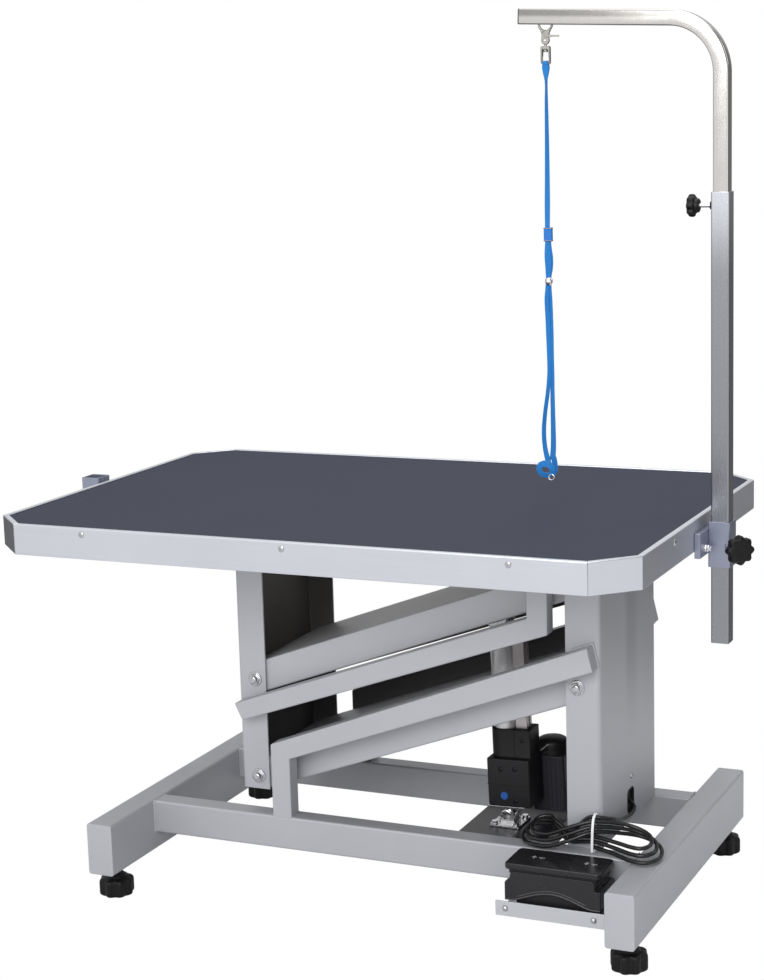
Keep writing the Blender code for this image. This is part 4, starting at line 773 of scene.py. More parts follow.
lt = lambda x: 0.2605 + 0.379 * (x + 0.1435)
lb = lambda x: 0.2378 + 0.368 * (x + 0.1085)
for name, s in (("front", 1), ("rear", -1)):
    y0, y1 = sorted((s * (-0.1760), s * (-0.1463)))
    z0 = RAIL_Z[1] - 0.0035
    more = 0.006 if s < 0 else 0.0
    shape = [(-0.1435, z0), (-0.1085, z0), (-0.1085, lb(-0.1085)), (0.4235, lb(0.4235)), (0.4145, lt(0.4145)),
             (-0.1435, lt(-0.1435) + more)]
    b = soften(in_xz([shape], y0, y1), 0.0026, 4)
    # painted shade: the rear brace's forward-facing faces and the front brace's underside take the shadow colour
    painted_dark = (lambda c, n: n.y < -0.35) if s < 0 else (lambda c, n: n.z < -0.8 and c.x > -0.1)
    add(name + "_lower_brace_tube", b, "paint", "base", "lower_brace_" + name, 30, painted_dark)
    y = s * -0.1468
    outer = s * -0.1755
    foot = [(-0.1437, outer, RAIL_Z[1] + 0.0002), (-0.1083, outer, RAIL_Z[1] + 0.0002)]
    ring = line((-0.1437, y, RAIL_Z[1]), foot[0], 6) + line(foot[0], foot[1], 8)[1:] + line(foot[1], (-0.1083, y, RAIL_Z[1]), 6)[1:]
    add(name + "_post_weld", bead_line(ring[:7], 0.0011, 3), "paint", "base", (), 60)
    end = line((0.4240, y, lb(0.4235) + 0.001), (0.4150, y, lt(0.4145) - 0.001), 14)
    over = line((0.4140, y, lt(0.4140) + 0.0004), (0.380, y, lt(0.380) + 0.0004), 14)
    add(name + "_brace_weld", bead_line(end + over, 0.0022, 7), "paint", "base", (), 60)


# ---------------------------------------------------------------- pivot bolts
def pivot_bolt(name, p, s, half, body):
    inner = ARM_HY - ARM_W - 0.0060
    fl = half - CW
    h = half + GAP
    prof = [(0.0, h + 0.0104), (0.0044, h + 0.0104), (0.0052, h + 0.0098)] + thread(0.0062, h + 0.0066, h + 0.0094, 0.0012)[::-1]
    prof += [(0.0062, h + 0.0062), (0.0062, h + 0.0018), (0.0112, h + 0.0018), (0.0122, h + 0.0013), (0.0125, h + 0.0004),
             (0.0123, h), (0.0060, h), (0.0060, fl - GAP)]
    if fl - ARM_HY > 0.003:
        prof += [(0.0110, fl - GAP), (0.0110, ARM_HY + GAP), (0.0060, ARM_HY + GAP)]
    prof += [(0.0060, ARM_HY - ARM_W - GAP), (0.0095, ARM_HY - ARM_W - GAP), (0.0095, inner), (0.0, inner)]
    shank = lathe(prof, None, 48)
    hexa = [(0.0100 * math.cos(math.radians(60 * k + 12)), 0.0100 * math.sin(math.radians(60 * k + 12))) for k in range(6)]
    nut = outline([hexa], 0.0046, Matrix.Translation((0, 0, h + 0.0041)))
    dome = lathe([(0, h + 0.0070), (0.0076, h + 0.0070), (0.0102, h + 0.0050), (0.0102, h + 0.0), (0, h + 0.0)], None, 48)
    nut = cut(nut, dome, op="INTERSECT")
    mesh = moved(join(shank, nut), at(p[0], 0, p[1], "Y" if s > 0 else "-Y"))
    add(name + "_set", mesh, "bolt", body, name, 32)


for tag, p, half, body in (("left_lower", L0, LCY, "carriage"), ("left_upper", L1, LCY, "carriage"),
                           ("right_lower", R0, RCY, "base"), ("right_upper", R1, RCY, "base")):
    pivot_bolt(tag + "_bolt_front", p, -1, half, body)
    pivot_bolt(tag + "_bolt_rear", p, 1, half, body)

# ---------------------------------------------------------------- levelling feet
for i, (sx, sy) in enumerate(((0, -1), (1, -1), (0, 1), (1, 1))):
    tag = ("front_left", "front_right", "rear_left", "rear_right")[i]
    fx, fy = sum(FOOT_X[sx]) / 2, sy * KNOB_Y
    prof = [(0, 0.0012), (0.0190, 0.0012), (0.0205, 0.0), (0.0246, 0.0003, 0.0014), (0.0266, 0.0022, 0.0022),
            (0.0273, 0.0050, 0.0025), (0.0273, 0.0235, 0.0025), (0.0266, 0.0270, 0.0023), (0.0248, 0.0292, 0.0015),
            (0.0215, 0.0300, 0.0004), (0.0180, 0.0303), (0.0172, 0.0312), (0.0142, 0.0362), (0.0128, 0.0377),
            (0.0108, 0.0380), (0, 0.0380)]
    knob = lathe(prof, at(fx, fy, 0), 112, lobes(8))
    add(tag + "_knob", knob, "knob", "foot_" + tag, tag + "_foot", 50)
    stud = lathe([(0, 0.0370)] + thread(0.0055, 0.0370, 0.0845, 0.0016) + [(0.0042, 0.0850), (0, 0.0850)], at(fx, fy, 0), 28)
    add(tag + "_stud", stud, "zinc", "foot_" + tag, (), 50)

# ---------------------------------------------------------------- foot switch
TX0, TX1 = 0.289, FOOT_X[1][0] + 0.0004
ty = RAIL_Y[0]
tray = in_yz([[(ty, 0.0800), (ty - 0.0028, 0.0800), (ty - 0.0028, 0.0560), (-0.2595, 0.0560), (-0.2595, 0.0775),
               (-0.2620, 0.0775), (-0.2620, 0.0532), (ty, 0.0532)]], TX0, TX1)
add("tray_sheet", soften(tray, 0.0007, 3), "tray", "base", "switch_tray")
for i, x in enumerate((0.3055, 0.4505)):
    dome = lathe([(0, 0.0034), (0.0018, 0.0032), (0.0034, 0.0024), (0.0046, 0.0010), (0.0052, 0.0), (0, 0.0)],
                 at(x, -0.2620, 0.0658, "-Y"), 32)
    add("tray_screw_%d" % i, dome, "screw", "base")
add("switch_body", soften(box(0.3190, 0.4440, -0.2500, -0.1930, 0.0563, 0.1080), 0.003), "black", "base", "pedal_housing")
trunnion = cyl(0.0030, -0.2534, -0.1896, at(0.3815, 0, 0.1000, "Y"), 24)
add("switch_trunnion", trunnion, "zinc", "base")

lo, hi, ulo, uhi = 0.3030, 0.4600, 0.3120, 0.4510
hump = [(x, 0.0790 + 0.0172 * math.sin(math.pi * u) ** 1.3) for u, x in ((k / 28, 0.3150 + 0.1300 * k / 28) for k in range(29))]
skirt = ([(lo, 0.0790), (lo, 0.1065)] + arc(lo + 0.003, 0.1065, 0.003, 180, 90, 5)[1:] + [(ulo, 0.1095)]
         + [(ulo, 0.1190)] + arc(ulo + 0.007, 0.1190, 0.007, 180, 90, 7)[1:] + arc(uhi - 0.007, 0.1190, 0.007, 90, 0, 7)
         + [(uhi, 0.1095)] + arc(hi - 0.003, 0.1065, 0.003, 90, 0, 5) + [(hi, 0.0790)] + hump[::-1])
shell = in_xz([skirt], -0.2570, -0.1860)
shell = soften(shell, 0.0010, 3, 50)
shell = cut(shell, box(lo + 0.003, hi - 0.003, -0.2540, -0.1890, 0.05, 0.1065),
            box(ulo + 0.0025, uhi - 0.0025, -0.2540, -0.1890, 0.10, 0.1235))
slab = in_xy([rect(0.3027, 0.4603, -0.2578, -0.1852, 0.0075, 8)], 0.1285, 0.1400)
slab = soften(slab, 0.0034, 5, 50)
neck = in_xy([rect(0.3085, 0.4545, -0.2545, -0.1885, 0.006, 5)], 0.1225, 0.1300)
add("pedal_shell", shell, "gloss", "pedal", "pedal", 40)
add("pedal_slab", slab, "gloss", "pedal", (), 40)
add("pedal_neck", neck, "black", "pedal", (), 40)
rim = [(x, -0.2568, z + 0.0006) for x, z in hump]
# the raised rims along the hump carry a painted highlight in the lighter edge grey
add("pedal_hump_edge", wire([(0.3035, -0.2568, 0.0797)] + rim + [(0.4595, -0.2568, 0.0797)], 0.0011, 3), "edge", "pedal", (), 60)
add("pedal_hump_line", wire([(x, -0.2572, z + 0.0046) for x, z in ((p[0], p[2]) for p in rim[2:-2])], 0.0007, 2), "edge", "pedal", (), 60)
# generic arrows: a small table bar with an arrow beside it, up on the left, down on the right
for i, (cx, cy, up) in enumerate(((0.3400, -0.2200, 1), (0.4260, -0.2200, -1))):
    a = 0.0055 * up
    arrow = in_xy([[(cx - 0.0045, cy - a * 0.1), (cx, cy + a), (cx + 0.0045, cy - a * 0.1), (cx + 0.0015, cy - a * 0.1),
                    (cx + 0.0015, cy - a), (cx - 0.0015, cy - a), (cx - 0.0015, cy - a * 0.1)]], 0.1399, 0.1402)
    bar = in_xy([rect(cx + 0.0075, cx + 0.0175, cy - 0.0010, cy + 0.0010)], 0.1399, 0.1402)
    legs = in_xy([rect(cx + 0.0115, cx + 0.0135, cy - 0.0052, cy - 0.0010)], 0.1399, 0.1402)
    add("pedal_arrow_%d" % i, join(arrow, bar, legs), "mark", "pedal", (), 30, None, False)


def cable_points():
    right = [(0.4180, -0.1600), (0.4520, -0.1735), (0.4900, -0.1960), (0.5160, -0.1960), (0.5290, -0.1680),
             (0.5170, -0.1330), (0.4850, -0.1180), (0.4500, -0.1350)]
    left = [(0.4180, -0.1650), (0.3850, -0.1780), (0.3480, -0.1800), (0.3120, -0.1730), (0.2950, -0.1500),
            (0.3020, -0.1230), (0.3320, -0.1180), (0.3540, -0.1420), (0.3780, -0.1540)]
    z_right = [0.1450, 0.1440, 0.1440, 0.1440, 0.1450, 0.1500, 0.1560, 0.1640]
    z_left = [0.1712, 0.1590, 0.1450, 0.1440, 0.1480, 0.1560, 0.1600, 0.1560, 0.1480]
    pts = []
    for k in range(3):
        f = 1.0 - 0.17 * k
        up = 0.0088 * k
        for (cx, cy), lobe, zs in (((0.480, -0.1600), right, z_right), ((0.345, -0.1560), left, z_left)):
            for i, ((x, y), z) in enumerate(zip(lobe, zs)):
                g = f if 1 < i < 7 else (1.0 + f) / 2 if i in (1, 7) else 1.0
                pts.append((cx + (x - cx) * g, cy + (y - cy) * g, z + up))
    pts += [(0.4080, -0.1560, 0.1915), (0.4300, -0.1525, 0.1920), (0.4410, -0.1300, 0.1840), (0.4390, -0.0950, 0.1710),
            (0.4380, -0.0550, 0.1620), (0.4375, -0.0220, 0.1600), (0.4345, -0.0040, 0.1640), (0.4240, 0.0030, 0.1690),
            (0.4080, 0.0040, 0.1700)]
    return pts


add("coiled_cable", wire(smooth(cable_points(), 8), 0.0033, 4), "cable", "base", "switch_cable", 60)
tie = [(0.4190, -0.1735, 0.150), (0.4190, -0.1725, 0.1405), (0.4190, -0.1650, 0.1385), (0.4190, -0.1560, 0.1400),
       (0.4190, -0.1530, 0.150), (0.4185, -0.1530, 0.170), (0.4180, -0.1535, 0.188), (0.4185, -0.1600, 0.1960),
       (0.4200, -0.1690, 0.1930), (0.4200, -0.1730, 0.180), (0.4195, -0.1738, 0.165)]
loop = smooth(tie, 5, True)
loop.append(loop[0])
add("white_tie", ribbon(loop, [0.0042] * len(loop), 0.0012, [(1, 0, 0.12)] * len(loop)), "white", "base", (), 50)
tail = smooth([(0.4200, -0.1640, 0.1955), (0.4215, -0.1650, 0.2010), (0.4250, -0.1665, 0.2035)], 4)
add("tie_tail", ribbon(tail, [0.0040] * len(tail), 0.0010, [(1, 0.2, -0.4)] * len(tail)), "white", "base", (), 50)


# ---------------------------------------------------------------- lift arms
def arm_frame(p):
    return Matrix.Translation((p[0], 0, p[1])) @ Matrix.Rotation(-ARM_A, 4, "Y")


def arm_sheet(name, pivot, slot, body):
    r, f = ARM_R, arm_frame(pivot)
    body_loop = arc(0, 0, r, 90, 270, 24) + arc(ARM_LEN, 0, r, -90, 90, 24)
    ri = r - ARM_W
    hollow = [(-ri, -0.06), (ARM_LEN + ri, -0.06)] + arc(ARM_LEN, 0, ri, 0, 90, 12) + arc(0, 0, ri, 90, 180, 12)
    mesh = soften(in_xz([body_loop], -ARM_HY, ARM_HY), 0.0030, 4, 50)
    tools = [in_xz([hollow], -ARM_HY + ARM_W, ARM_HY - ARM_W)]
    tools += [cyl(0.0064, -0.2, 0.2, at(lx, 0, 0, "Y")) for lx in (0.0, ARM_LEN)]
    if slot:
        tools.append(box(ARM_LEN - 0.256, ARM_LEN - 0.127, -0.030, 0.030, 0.01, 0.04))
    mesh = moved(cut(mesh, *tools), f)
    inv = f.inverted()

    # painted shade: the faces inside the arm's channel take the shadow colour
    def painted_dark(c, n):
        q = inv @ c
        return abs(q.y) < ARM_HY - 0.6 * ARM_W and q.z < r - 0.6 * ARM_W and abs(q.y) < ARM_HY and \
            not (abs(inv.to_3x3() @ n @ Vector((0, 1, 0))) > 2)
    add(name + "_sheet", mesh, "paint", body, name, 30, painted_dark)


arm_sheet("lower_arm", L0, True, "lower_arm")
arm_sheet("upper_arm", L1, False, "upper_arm")
f1 = arm_frame(L1)
loc = f1.inverted() @ Vector((ACT1[0], 0, ACT1[1]))
lx, lz = loc.x, loc.z
zt = ARM_R - ARM_W - GAP
lug = [soften(box(lx - 0.034, lx + 0.034, -0.0290, 0.0290, zt - 0.004, zt), 0.0008)]
for s in (-1, 1):
    y0, y1 = sorted((s * 0.0185, s * 0.0230))
    ear = in_xz([[(lx - 0.021, zt - 0.002)] + arc(lx, lz, 0.021, 180, 360, 24) + [(lx + 0.021, zt - 0.002)],
                 ring_pts(lx, lz, 0.0160, 36)], y0, y1)
    lug.append(soften(ear, 0.0006, 2))
add("lug_plates", moved(join(*lug), f1), "paint", "upper_arm", "actuator_lug")

# ---------------------------------------------------------------- carriage
x0, x1 = LCX
hy, rr = LCY, 0.0065
col = ([(x1, -hy), (x1, -hy + w)] + arc(x0 + rr, -hy + rr, rr - w, 270, 180, 8) + arc(x0 + rr, hy - rr, rr - w, 180, 90, 8)
       + [(x1, hy - w), (x1, hy)] + arc(x0 + rr, hy - rr, rr, 90, 180, 10) + arc(x0 + rr, -hy + rr, rr, 180, 270, 10))
lcol = soften(in_xy([col], LCZ[0], LCZ[1]), 0.0007, 2, 60)
lcol = cut(lcol, *[cyl(0.0064, -0.2, 0.2, at(px, 0, pz, "Y")) for px, pz in (L0, L1)])
add("left_column_sheet", lcol, "paint", "carriage", "left_column", 30, column_inside(x0, x1, hy, -1))

ut = lambda x: 0.3222 + 0.3555 * (x + 0.2140)
ub = lambda x: 0.2939 + 0.3480 * (x + 0.2000)
for name, s in (("front", 1), ("rear", -1)):
    y0, y1 = sorted((s * -0.1660, s * -0.1363))
    shape = [(-0.2140, ut(-0.2140)), (-0.2000, ub(-0.2000)), (0.3465, ub(0.3465)), (0.3465, 0.6339), (0.3120, 0.6339),
             (0.3120, ut(0.3120))]
    # painted shade: the rear brace's forward-facing faces take the shadow colour
    painted_dark = (lambda c, n: n.y < -0.35) if s < 0 else None
    add(name + "_upper_brace_tube", soften(in_xz([shape], y0, y1), 0.0026, 4), "paint", "carriage", "upper_brace_" + name, 30, painted_dark)
    y = s * -0.1368
    top = line((-0.2130, y, ut(-0.2130) + 0.0003), (-0.1700, y, ut(-0.1700) + 0.0003), 14)
    bot = line((-0.1995, y, ub(-0.1995) - 0.0003), (-0.1700, y, ub(-0.1700) - 0.0003), 12)
    add(name + "_upper_weld_top", bead_line(top, 0.0014, 2), "paint", "carriage", (), 60)
    add(name + "_upper_weld_bottom", bead_line(bot, 0.0014, 5), "paint", "carriage", (), 60)

HX, HY = TABLE_L / 2, TABLE_W / 2


def eight(d):
    a = CHAMFER - d * (2 - math.sqrt(2))
    x, y = HX - d, HY - d
    return [(-x + a, -y), (x - a, -y), (x, -y + a), (x, y - a), (x - a, y), (-x + a, y), (-x, y - a), (-x, -y + a)]


add("mat_sheet", soften(in_xy([eight(0.0040)], BOARD_Z[1] + GAP, MAT_Z), 0.0008, 3), "rubber", "carriage", "rubber_mat")
add("board_sheet", soften(in_xy([eight(0.0033)], BOARD_Z[0], BOARD_Z[1]), 0.0008, 2), "wood", "carriage", "table_board")

# apron: outer wall with a rolled top edge and a lip over the mat
LIP = 0.0095
r = 0.0020
prof = [(0.0030, APRON_Z), (0.0008, APRON_Z), (0.0, APRON_Z + 0.0008), (0.0, RIM_Z - r)]
prof += [(r - r * math.cos(math.radians(a)), RIM_Z - r + r * math.sin(math.radians(a))) for a in (22.5, 45, 67.5, 90)]
prof += [(LIP - 0.0008, RIM_Z), (LIP, RIM_Z - 0.0006), (LIP, MAT_Z + 0.0001), (0.0030, MAT_Z + 0.0001)]


def apron(name, first, last, gone):
    loops = []
    for k in range(first, last + 1):
        loops.append([(*eight(d)[k % 8], z) for d, z in prof])
    for end, near in ((0, 1), (-1, -2)):
        a, b = [Vector(p) for p in loops[end]], [Vector(p) for p in loops[near]]
        loops[end] = [tuple(p + (q - p).normalized() * 0.00025) for p, q in zip(a, b)]
    mesh = loft(loops)
    o = add(name, mesh, "apron", "carriage", gone, 30)
    # painted highlight: faces that look up take the lighter lip finish
    mesh.materials.append(M["lip"])
    for p in mesh.polygons:
        if p.normal.z > 0.6:
            p.material_index = 1
    bv = o.modifiers.new("fold", "BEVEL")
    bv.limit_method = "ANGLE"
    bv.angle_limit = math.radians(38)
    bv.width = 0.0007
    bv.segments = 3
    o.modifiers.move(1, 0)
    return o


apron("apron_front_strip", 0, 1, "apron_front")
apron("apron_right_strip", 1, 4, "apron_right")
apron("apron_rear_strip", 4, 5, "apron_rear")
apron("apron_left_strip", 5, 8, "apron_left")
k = 0
for x, z in ((-0.3597, 0.6462), (-0.0030, 0.6455), (0.3662, 0.6450)):
    for s in (-1, 1):
        add("apron_screw_%d" % k, pan_head(0.0052, 0.0021, at(x, s * HY, z, "-Y" if s < 0 else "Y")), "screw", "carriage")
        k += 1
for y, z in ((-0.1551, 0.6432), (0.0902, 0.6440)):
    for s in (-1, 1):
        add("apron_screw_%d" % k, pan_head(0.0052, 0.0021, at(s * HX, y, z, "X" if s > 0 else "-X")), "screw", "carriage")
        k += 1

# ---------------------------------------------------------------- actuator
af = Matrix.Translation((ACT0[0], 0, ACT0[1])) @ Matrix.Rotation(ACT_TILT, 4, "Y")


def act(name, mesh, mat, gone=(), angle=35, body="actuator"):
    return add(name, moved(mesh, af), mat, body, gone, angle)


foot_lug = in_xz([[(0.0105, 0.0160), (-0.0105, 0.0160)] + arc(0, 0, 0.0105, 180, 360, 20), ring_pts(0, 0, 0.0053, 24)],
                 -0.0105, 0.0105)
act("mount_plate", join(soften(box(-0.0280, 0.0380, -0.0300, 0.0300, 0.0140, 0.0187), 0.0009), soften(foot_lug, 0.0007, 2)),
    "zinc", "actuator_mount")
gear = soften(in_xy([rect(-0.0255, 0.0505, -0.0320, 0.0320, 0.004, 6)], 0.0190, 0.1010), 0.0020, 4, 50)
gear = cut(gear, *[cyl(0.0042, -0.0350, -0.0300, at(x, 0, z, "Y"), 28) for x, z in ((-0.0008, 0.0830), (0.0243, 0.0845), (0.0243, 0.0290))])
act("gear_case", gear, "black", "actuator_gearbox", 30)
for i, (x, z) in enumerate(((-0.0008, 0.0830), (0.0243, 0.0845), (0.0243, 0.0290))):
    act("gear_screw_%d" % i, pan_head(0.0034, 0.0014, at(x, -0.0305, z, "-Y")), "black")
act("blue_cover", lathe([(0, 0.0014), (0.0059, 0.0014), (0.0068, 0.0006), (0.0070, 0.0), (0, 0.0)], at(0.0040, -0.0320, 0.0375, "-Y"), 44),
    "blue_dot")
act("gear_seam", soften(box(-0.0259, 0.0509, -0.0324, 0.0324, 0.0560, 0.0568), 0.0002, 1), "black")
sl = [(0.0500, -0.0230), (0.0500, 0.0230)] + arc(0, 0, 0.0235, 78, 282, 36)
sleeve = soften(in_xy([sl], 0.1013, 0.1500), 0.0012, 3, 50)
sleeve = cut(sleeve, cyl(0.0203, 0.09, 0.16, None, 56), cyl(0.0038, -0.026, -0.0215, at(0.0360, 0, 0.1320, "Y"), 28))
act("tube_sleeve", sleeve, "black", "actuator_sleeve", 30)
act("sleeve_screw", pan_head(0.0030, 0.0012, at(0.0360, -0.0218, 0.1320, "-Y")), "black")
act("sleeve_rib", soften(box(0.0205, 0.0225, -0.0238, -0.0226, 0.1030, 0.1480), 0.0003, 2), "black")
tube = in_xy([ring_pts(0, 0, 0.0200, 72), ring_pts(0, 0, 0.0129, 56)], 0.1013, 0.3080)
act("outer_tube", soften(tube, 0.0008, 2, 60), "tube", "actuator_tube", 30)
act("tube_collar", soften(in_xy([ring_pts(0, 0, 0.0206, 72), ring_pts(0, 0, 0.0131, 56)], 0.2980, 0.3088), 0.0008, 2, 60), "black")
prof_loop = rect(0.0222, 0.0422, -0.0120, 0.0120, 0.0012, 4)
prof_m = cut(in_xy([prof_loop], 0.1503, 0.3000), box(0.0395, 0.045, -0.0028, 0.0028, 0.14, 0.31))
act("side_profile", prof_m, "profile", "actuator_profile", 30)
house = soften(in_xy([rect(0.0300, 0.0870, 0.0323, 0.0880, 0.006, 7)], -0.0050, 0.0915), 0.0022, 4, 50)
act("motor_case", house, "motor", "motor_housing", 30)
ribs = [soften(box(x - 0.0012, x + 0.0012, 0.0310, 0.0324, 0.0010, 0.0860), 0.0004, 2) for x in (0.0560, 0.0640, 0.0720, 0.0800)]
act("motor_case_ribs", join(*ribs), "motor")
cap = [(0, 0.1200), (0.0080, 0.1199), (0.0140, 0.1190), (0.0200, 0.1172), (0.0240, 0.1148), (0.0260, 0.1118), (0.0265, 0.1085),
       (0.0265, 0.1040), (0.0257, 0.1036), (0.0257, 0.1012), (0.0265, 0.1008), (0.0265, 0.0918), (0, 0.0918)]
act("motor_cap", lathe(cap, at(0.0590, 0.0600, 0), 56), "black", "motor", 30)
lead = smooth([(0.0440, 0.0330, 0.0960), (0.0460, 0.0310, 0.0990), (0.0530, 0.0322, 0.1050), (0.0590, 0.0325, 0.1100), (0.0620, 0.0345, 0.1110)], 6)
act("motor_lead", wire(lead, 0.0012, 3), "mark", (), 60)
plug = soften(box(0.0360, 0.0560, 0.0325, 0.0460, 0.0915, 0.0985), 0.0010, 2)
act("motor_plug", plug, "black")
rod = lathe([(0, ACT_LEN - 0.004), (0.0125, ACT_LEN - 0.004), (0.0125, 0.1180), (0, 0.1180)], None, 56)
eye_end = lathe([(0.0053, -0.0150), (0.0120, -0.0150), (0.0130, -0.0142), (0.0130, 0.0142), (0.0120, 0.0150), (0.0053, 0.0150),
                 (0.0053, -0.0150)], at(0, 0, ACT_LEN, "Y"), 48)
act("piston_rod", join(rod, eye_end), "chrome", "actuator_rod", 40, "rod")
washers = lathe([(0, 0.0263), (0.0075, 0.0263), (0.0082, 0.0256), (0.0082, 0.0250), (0.0184, 0.0248), (0.0190, 0.0243), (0.0190, 0.0233),
                 (0.0050, 0.0233), (0.0050, -0.0233), (0.0190, -0.0233), (0.0190, -0.0243), (0.0184, -0.0248),
                 (0.0082, -0.0250), (0.0082, -0.0256), (0.0075, -0.0263), (0, -0.0263)], at(0, 0, ACT_LEN, "Y"), 48)
act("rod_pin_turned", washers, "zinc", "rod_pin", 40, "rod")

# ---------------------------------------------------------------- sockets
s = POLE_OUT / 2 + GAP
outer = rect(PX - s - 0.0028, PX + s + 0.0028, PY - s - 0.0045, PY + s + 0.0045, 0.0026, 6)
bore = rect(PX - s, PX + s, PY - s, PY + s, 0.0018, 5)
corner = Vector((PX + s, PY - s, 0.6080))
kf = Matrix.Translation(corner) @ Matrix.Rotation(math.radians(-45), 4, "Z") @ TURN["X"]
ring = soften(in_xy([outer, bore], 0.5735, 0.6457), 0.0008, 3, 60)
ring = cut(ring, moved(cyl(0.0040, -0.004, 0.02, None, 28), kf))
add("right_clamp", ring, "socket", "carriage", "right_socket", 30)
block = soften(box(HX + GAP, 0.5602, -0.0520, 0.0300, 0.5960, 0.6360), 0.0012, 3)
add("right_bracket", block, "socket", "carriage")
nutw = lathe([(0, 0.0028), (0.0060, 0.0026), (0.0063, 0.0018), (0.0063, 0.0), (0, 0.0)], None, 36)
hexa = soften(outline([ring_pts(0, 0, 0.0056, 6)], 0.0040, Matrix.Translation((0, 0, 0.0044))), 0.0005, 2)
stub = lathe([(0, 0.0100), (0.0030, 0.0100), (0.0037, 0.0093)] + thread(0.0040, 0.0060, 0.0092, 0.0010)[::-1] + [(0, 0.0060)], None, 28)
add("bracket_bolt_set", moved(join(nutw, hexa, stub), at(0.5603, -0.0250, 0.6080, "X")), "chrome", "carriage", "bracket_bolt")
boss = moved(lathe([(0.0040, 0.0038), (0.0068, 0.0038), (0.0074, 0.0030), (0.0074, -0.0005), (0.0040, -0.0005), (0.0040, 0.0038)], None, 36), kf)
add("clamp_boss", boss, "socket", "carriage")

lxm = -0.5767
outer = rect(lxm - s - 0.0028, lxm + s + 0.0028, PY - s - 0.0045, PY + s + 0.0045, 0.0026, 6)
bore = rect(lxm - s, lxm + s, PY - s, PY + s, 0.0018, 5)
add("left_clamp", soften(in_xy([outer, bore], 0.5900, 0.6620), 0.0008, 3, 60), "socket", "carriage", "left_socket")
add("left_bracket", soften(box(-0.5602, -HX - GAP, -0.0300, 0.0520, 0.5960, 0.6460), 0.0012, 3), "socket", "carriage")


def star(name, place, body, gone, stud_len, stud_r, r=0.0215, thick=0.016):
    a, b = stud_len + 0.006, stud_len + 0.006 + thick
    q = 0.0019 * r / 0.0215 + 0.0002
    prof = [(0, stud_len), (0.0092, stud_len), (0.0108, stud_len + 0.0012), (0.0113, a), (r * 0.80, a, q * 0.4),
            (r * 0.93, a + 0.0008, q * 0.8), (r, a + 0.0030, q), (r, b - 0.0042, q), (r * 0.965, b - 0.0020, q * 0.95),
            (r * 0.88, b - 0.0006, q * 0.7), (r * 0.74, b, q * 0.3), (r * 0.45, b), (r * 0.42, b - 0.0010), (0, b - 0.0010)]
    add(name + "_head", lathe(prof, place, 112, lobes(8)), "knob", body, gone, 50)
    stud = lathe([(0, 0.0)] + thread(stud_r, 0.0, stud_len + 0.001, 0.0012, 0.00022) + [(0, stud_len + 0.001)], place, 28)
    add(name + "_stud", stud, "chrome", body, (), 50)


star("clamp_star", kf @ Matrix.Translation((0, 0, 0.0005)), "clamp_knob", "clamp_knob", 0.0190, 0.0033)

# ---------------------------------------------------------------- pole and sliding arm
h, hb = POLE_OUT / 2, POLE_BORE / 2
hk = Matrix.Translation((PX - ARM_OUT / 2 - 0.0002, PY, 1.1390)) @ Matrix.Rotation(math.radians(-90), 4, "Y")
pole = soften(in_xy([rect(PX - h, PX + h, PY - h, PY + h, 0.0030, 8), rect(PX - hb, PX + hb, PY - hb, PY + hb, 0.0010, 3)],
                    POLE_Z[0], POLE_Z[1]), 0.0005, 2, 60)
pole = cut(pole, moved(cyl(0.0040, -0.001, 0.01, None, 28), hk))
add("pole_tube", pole, "pole", "pole", "outer_pole", 30)
nut = lathe([(0.0039, 0.0023), (0.0058, 0.0023), (0.0062, 0.0027), (0.0062, 0.0058), (0.0056, 0.0064), (0.0039, 0.0064), (0.0039, 0.0023)],
            hk, 36)
add("height_nut", nut, "black", "pole")
star("height_star", hk, "height_knob", "height_knob", 0.0235, 0.0034, 0.0160, 0.012)

path = [(Vector((PX, PY, 0.8600)), 90.0), (Vector((PX, PY, 1.10)), 90.0)]
for i in range(1, 9):
    path.append((Vector((PX, PY, 1.10 + (BEND_C[1] - 1.10) * i / 8)), 90.0))
end_a = 90 - math.degrees(RISE)
for i in range(1, 41):
    a = end_a * i / 40
    path.append((Vector((BEND_C[0] + BEND_R * math.cos(math.radians(a)), PY, BEND_C[1] + BEND_R * math.sin(math.radians(a)))), 90 + a))
last = path[-1][0]
d = Vector((-math.cos(RISE), 0, math.sin(RISE)))
run = (last.x - TIP_X) / math.cos(RISE)
for i in range(1, 9):
    path.append((last + d * run * i / 8, 180 - math.degrees(RISE)))


def section(half, r, n, squeeze=0.0):
    out = []
    for a, b in rect(-half, half, -half, half, r, n):
        k = squeeze * (1 - (b / half) ** 2) if a < -half * 0.6 else 0.0
        out.append((a + k, b * (1 + 0.35 * squeeze / half)))
    return out


def swept(half, r, n, dimple):
    loops = []
    for p, deg in path:
        t = Vector((math.cos(math.radians(deg)), 0, math.sin(math.radians(deg))))
        nrm = Vector((t.z, 0, -t.x))                    # away from the bend's centre
        bend = max(0.0, math.sin(math.radians((deg - 90) / max(end_a, 1) * 180))) if 90 < deg < 90 + end_a else 0.0
        loops.append([p + nrm * a + Vector((0, 1, 0)) * b for a, b in section(half, r, n, dimple * bend)])
    return loops


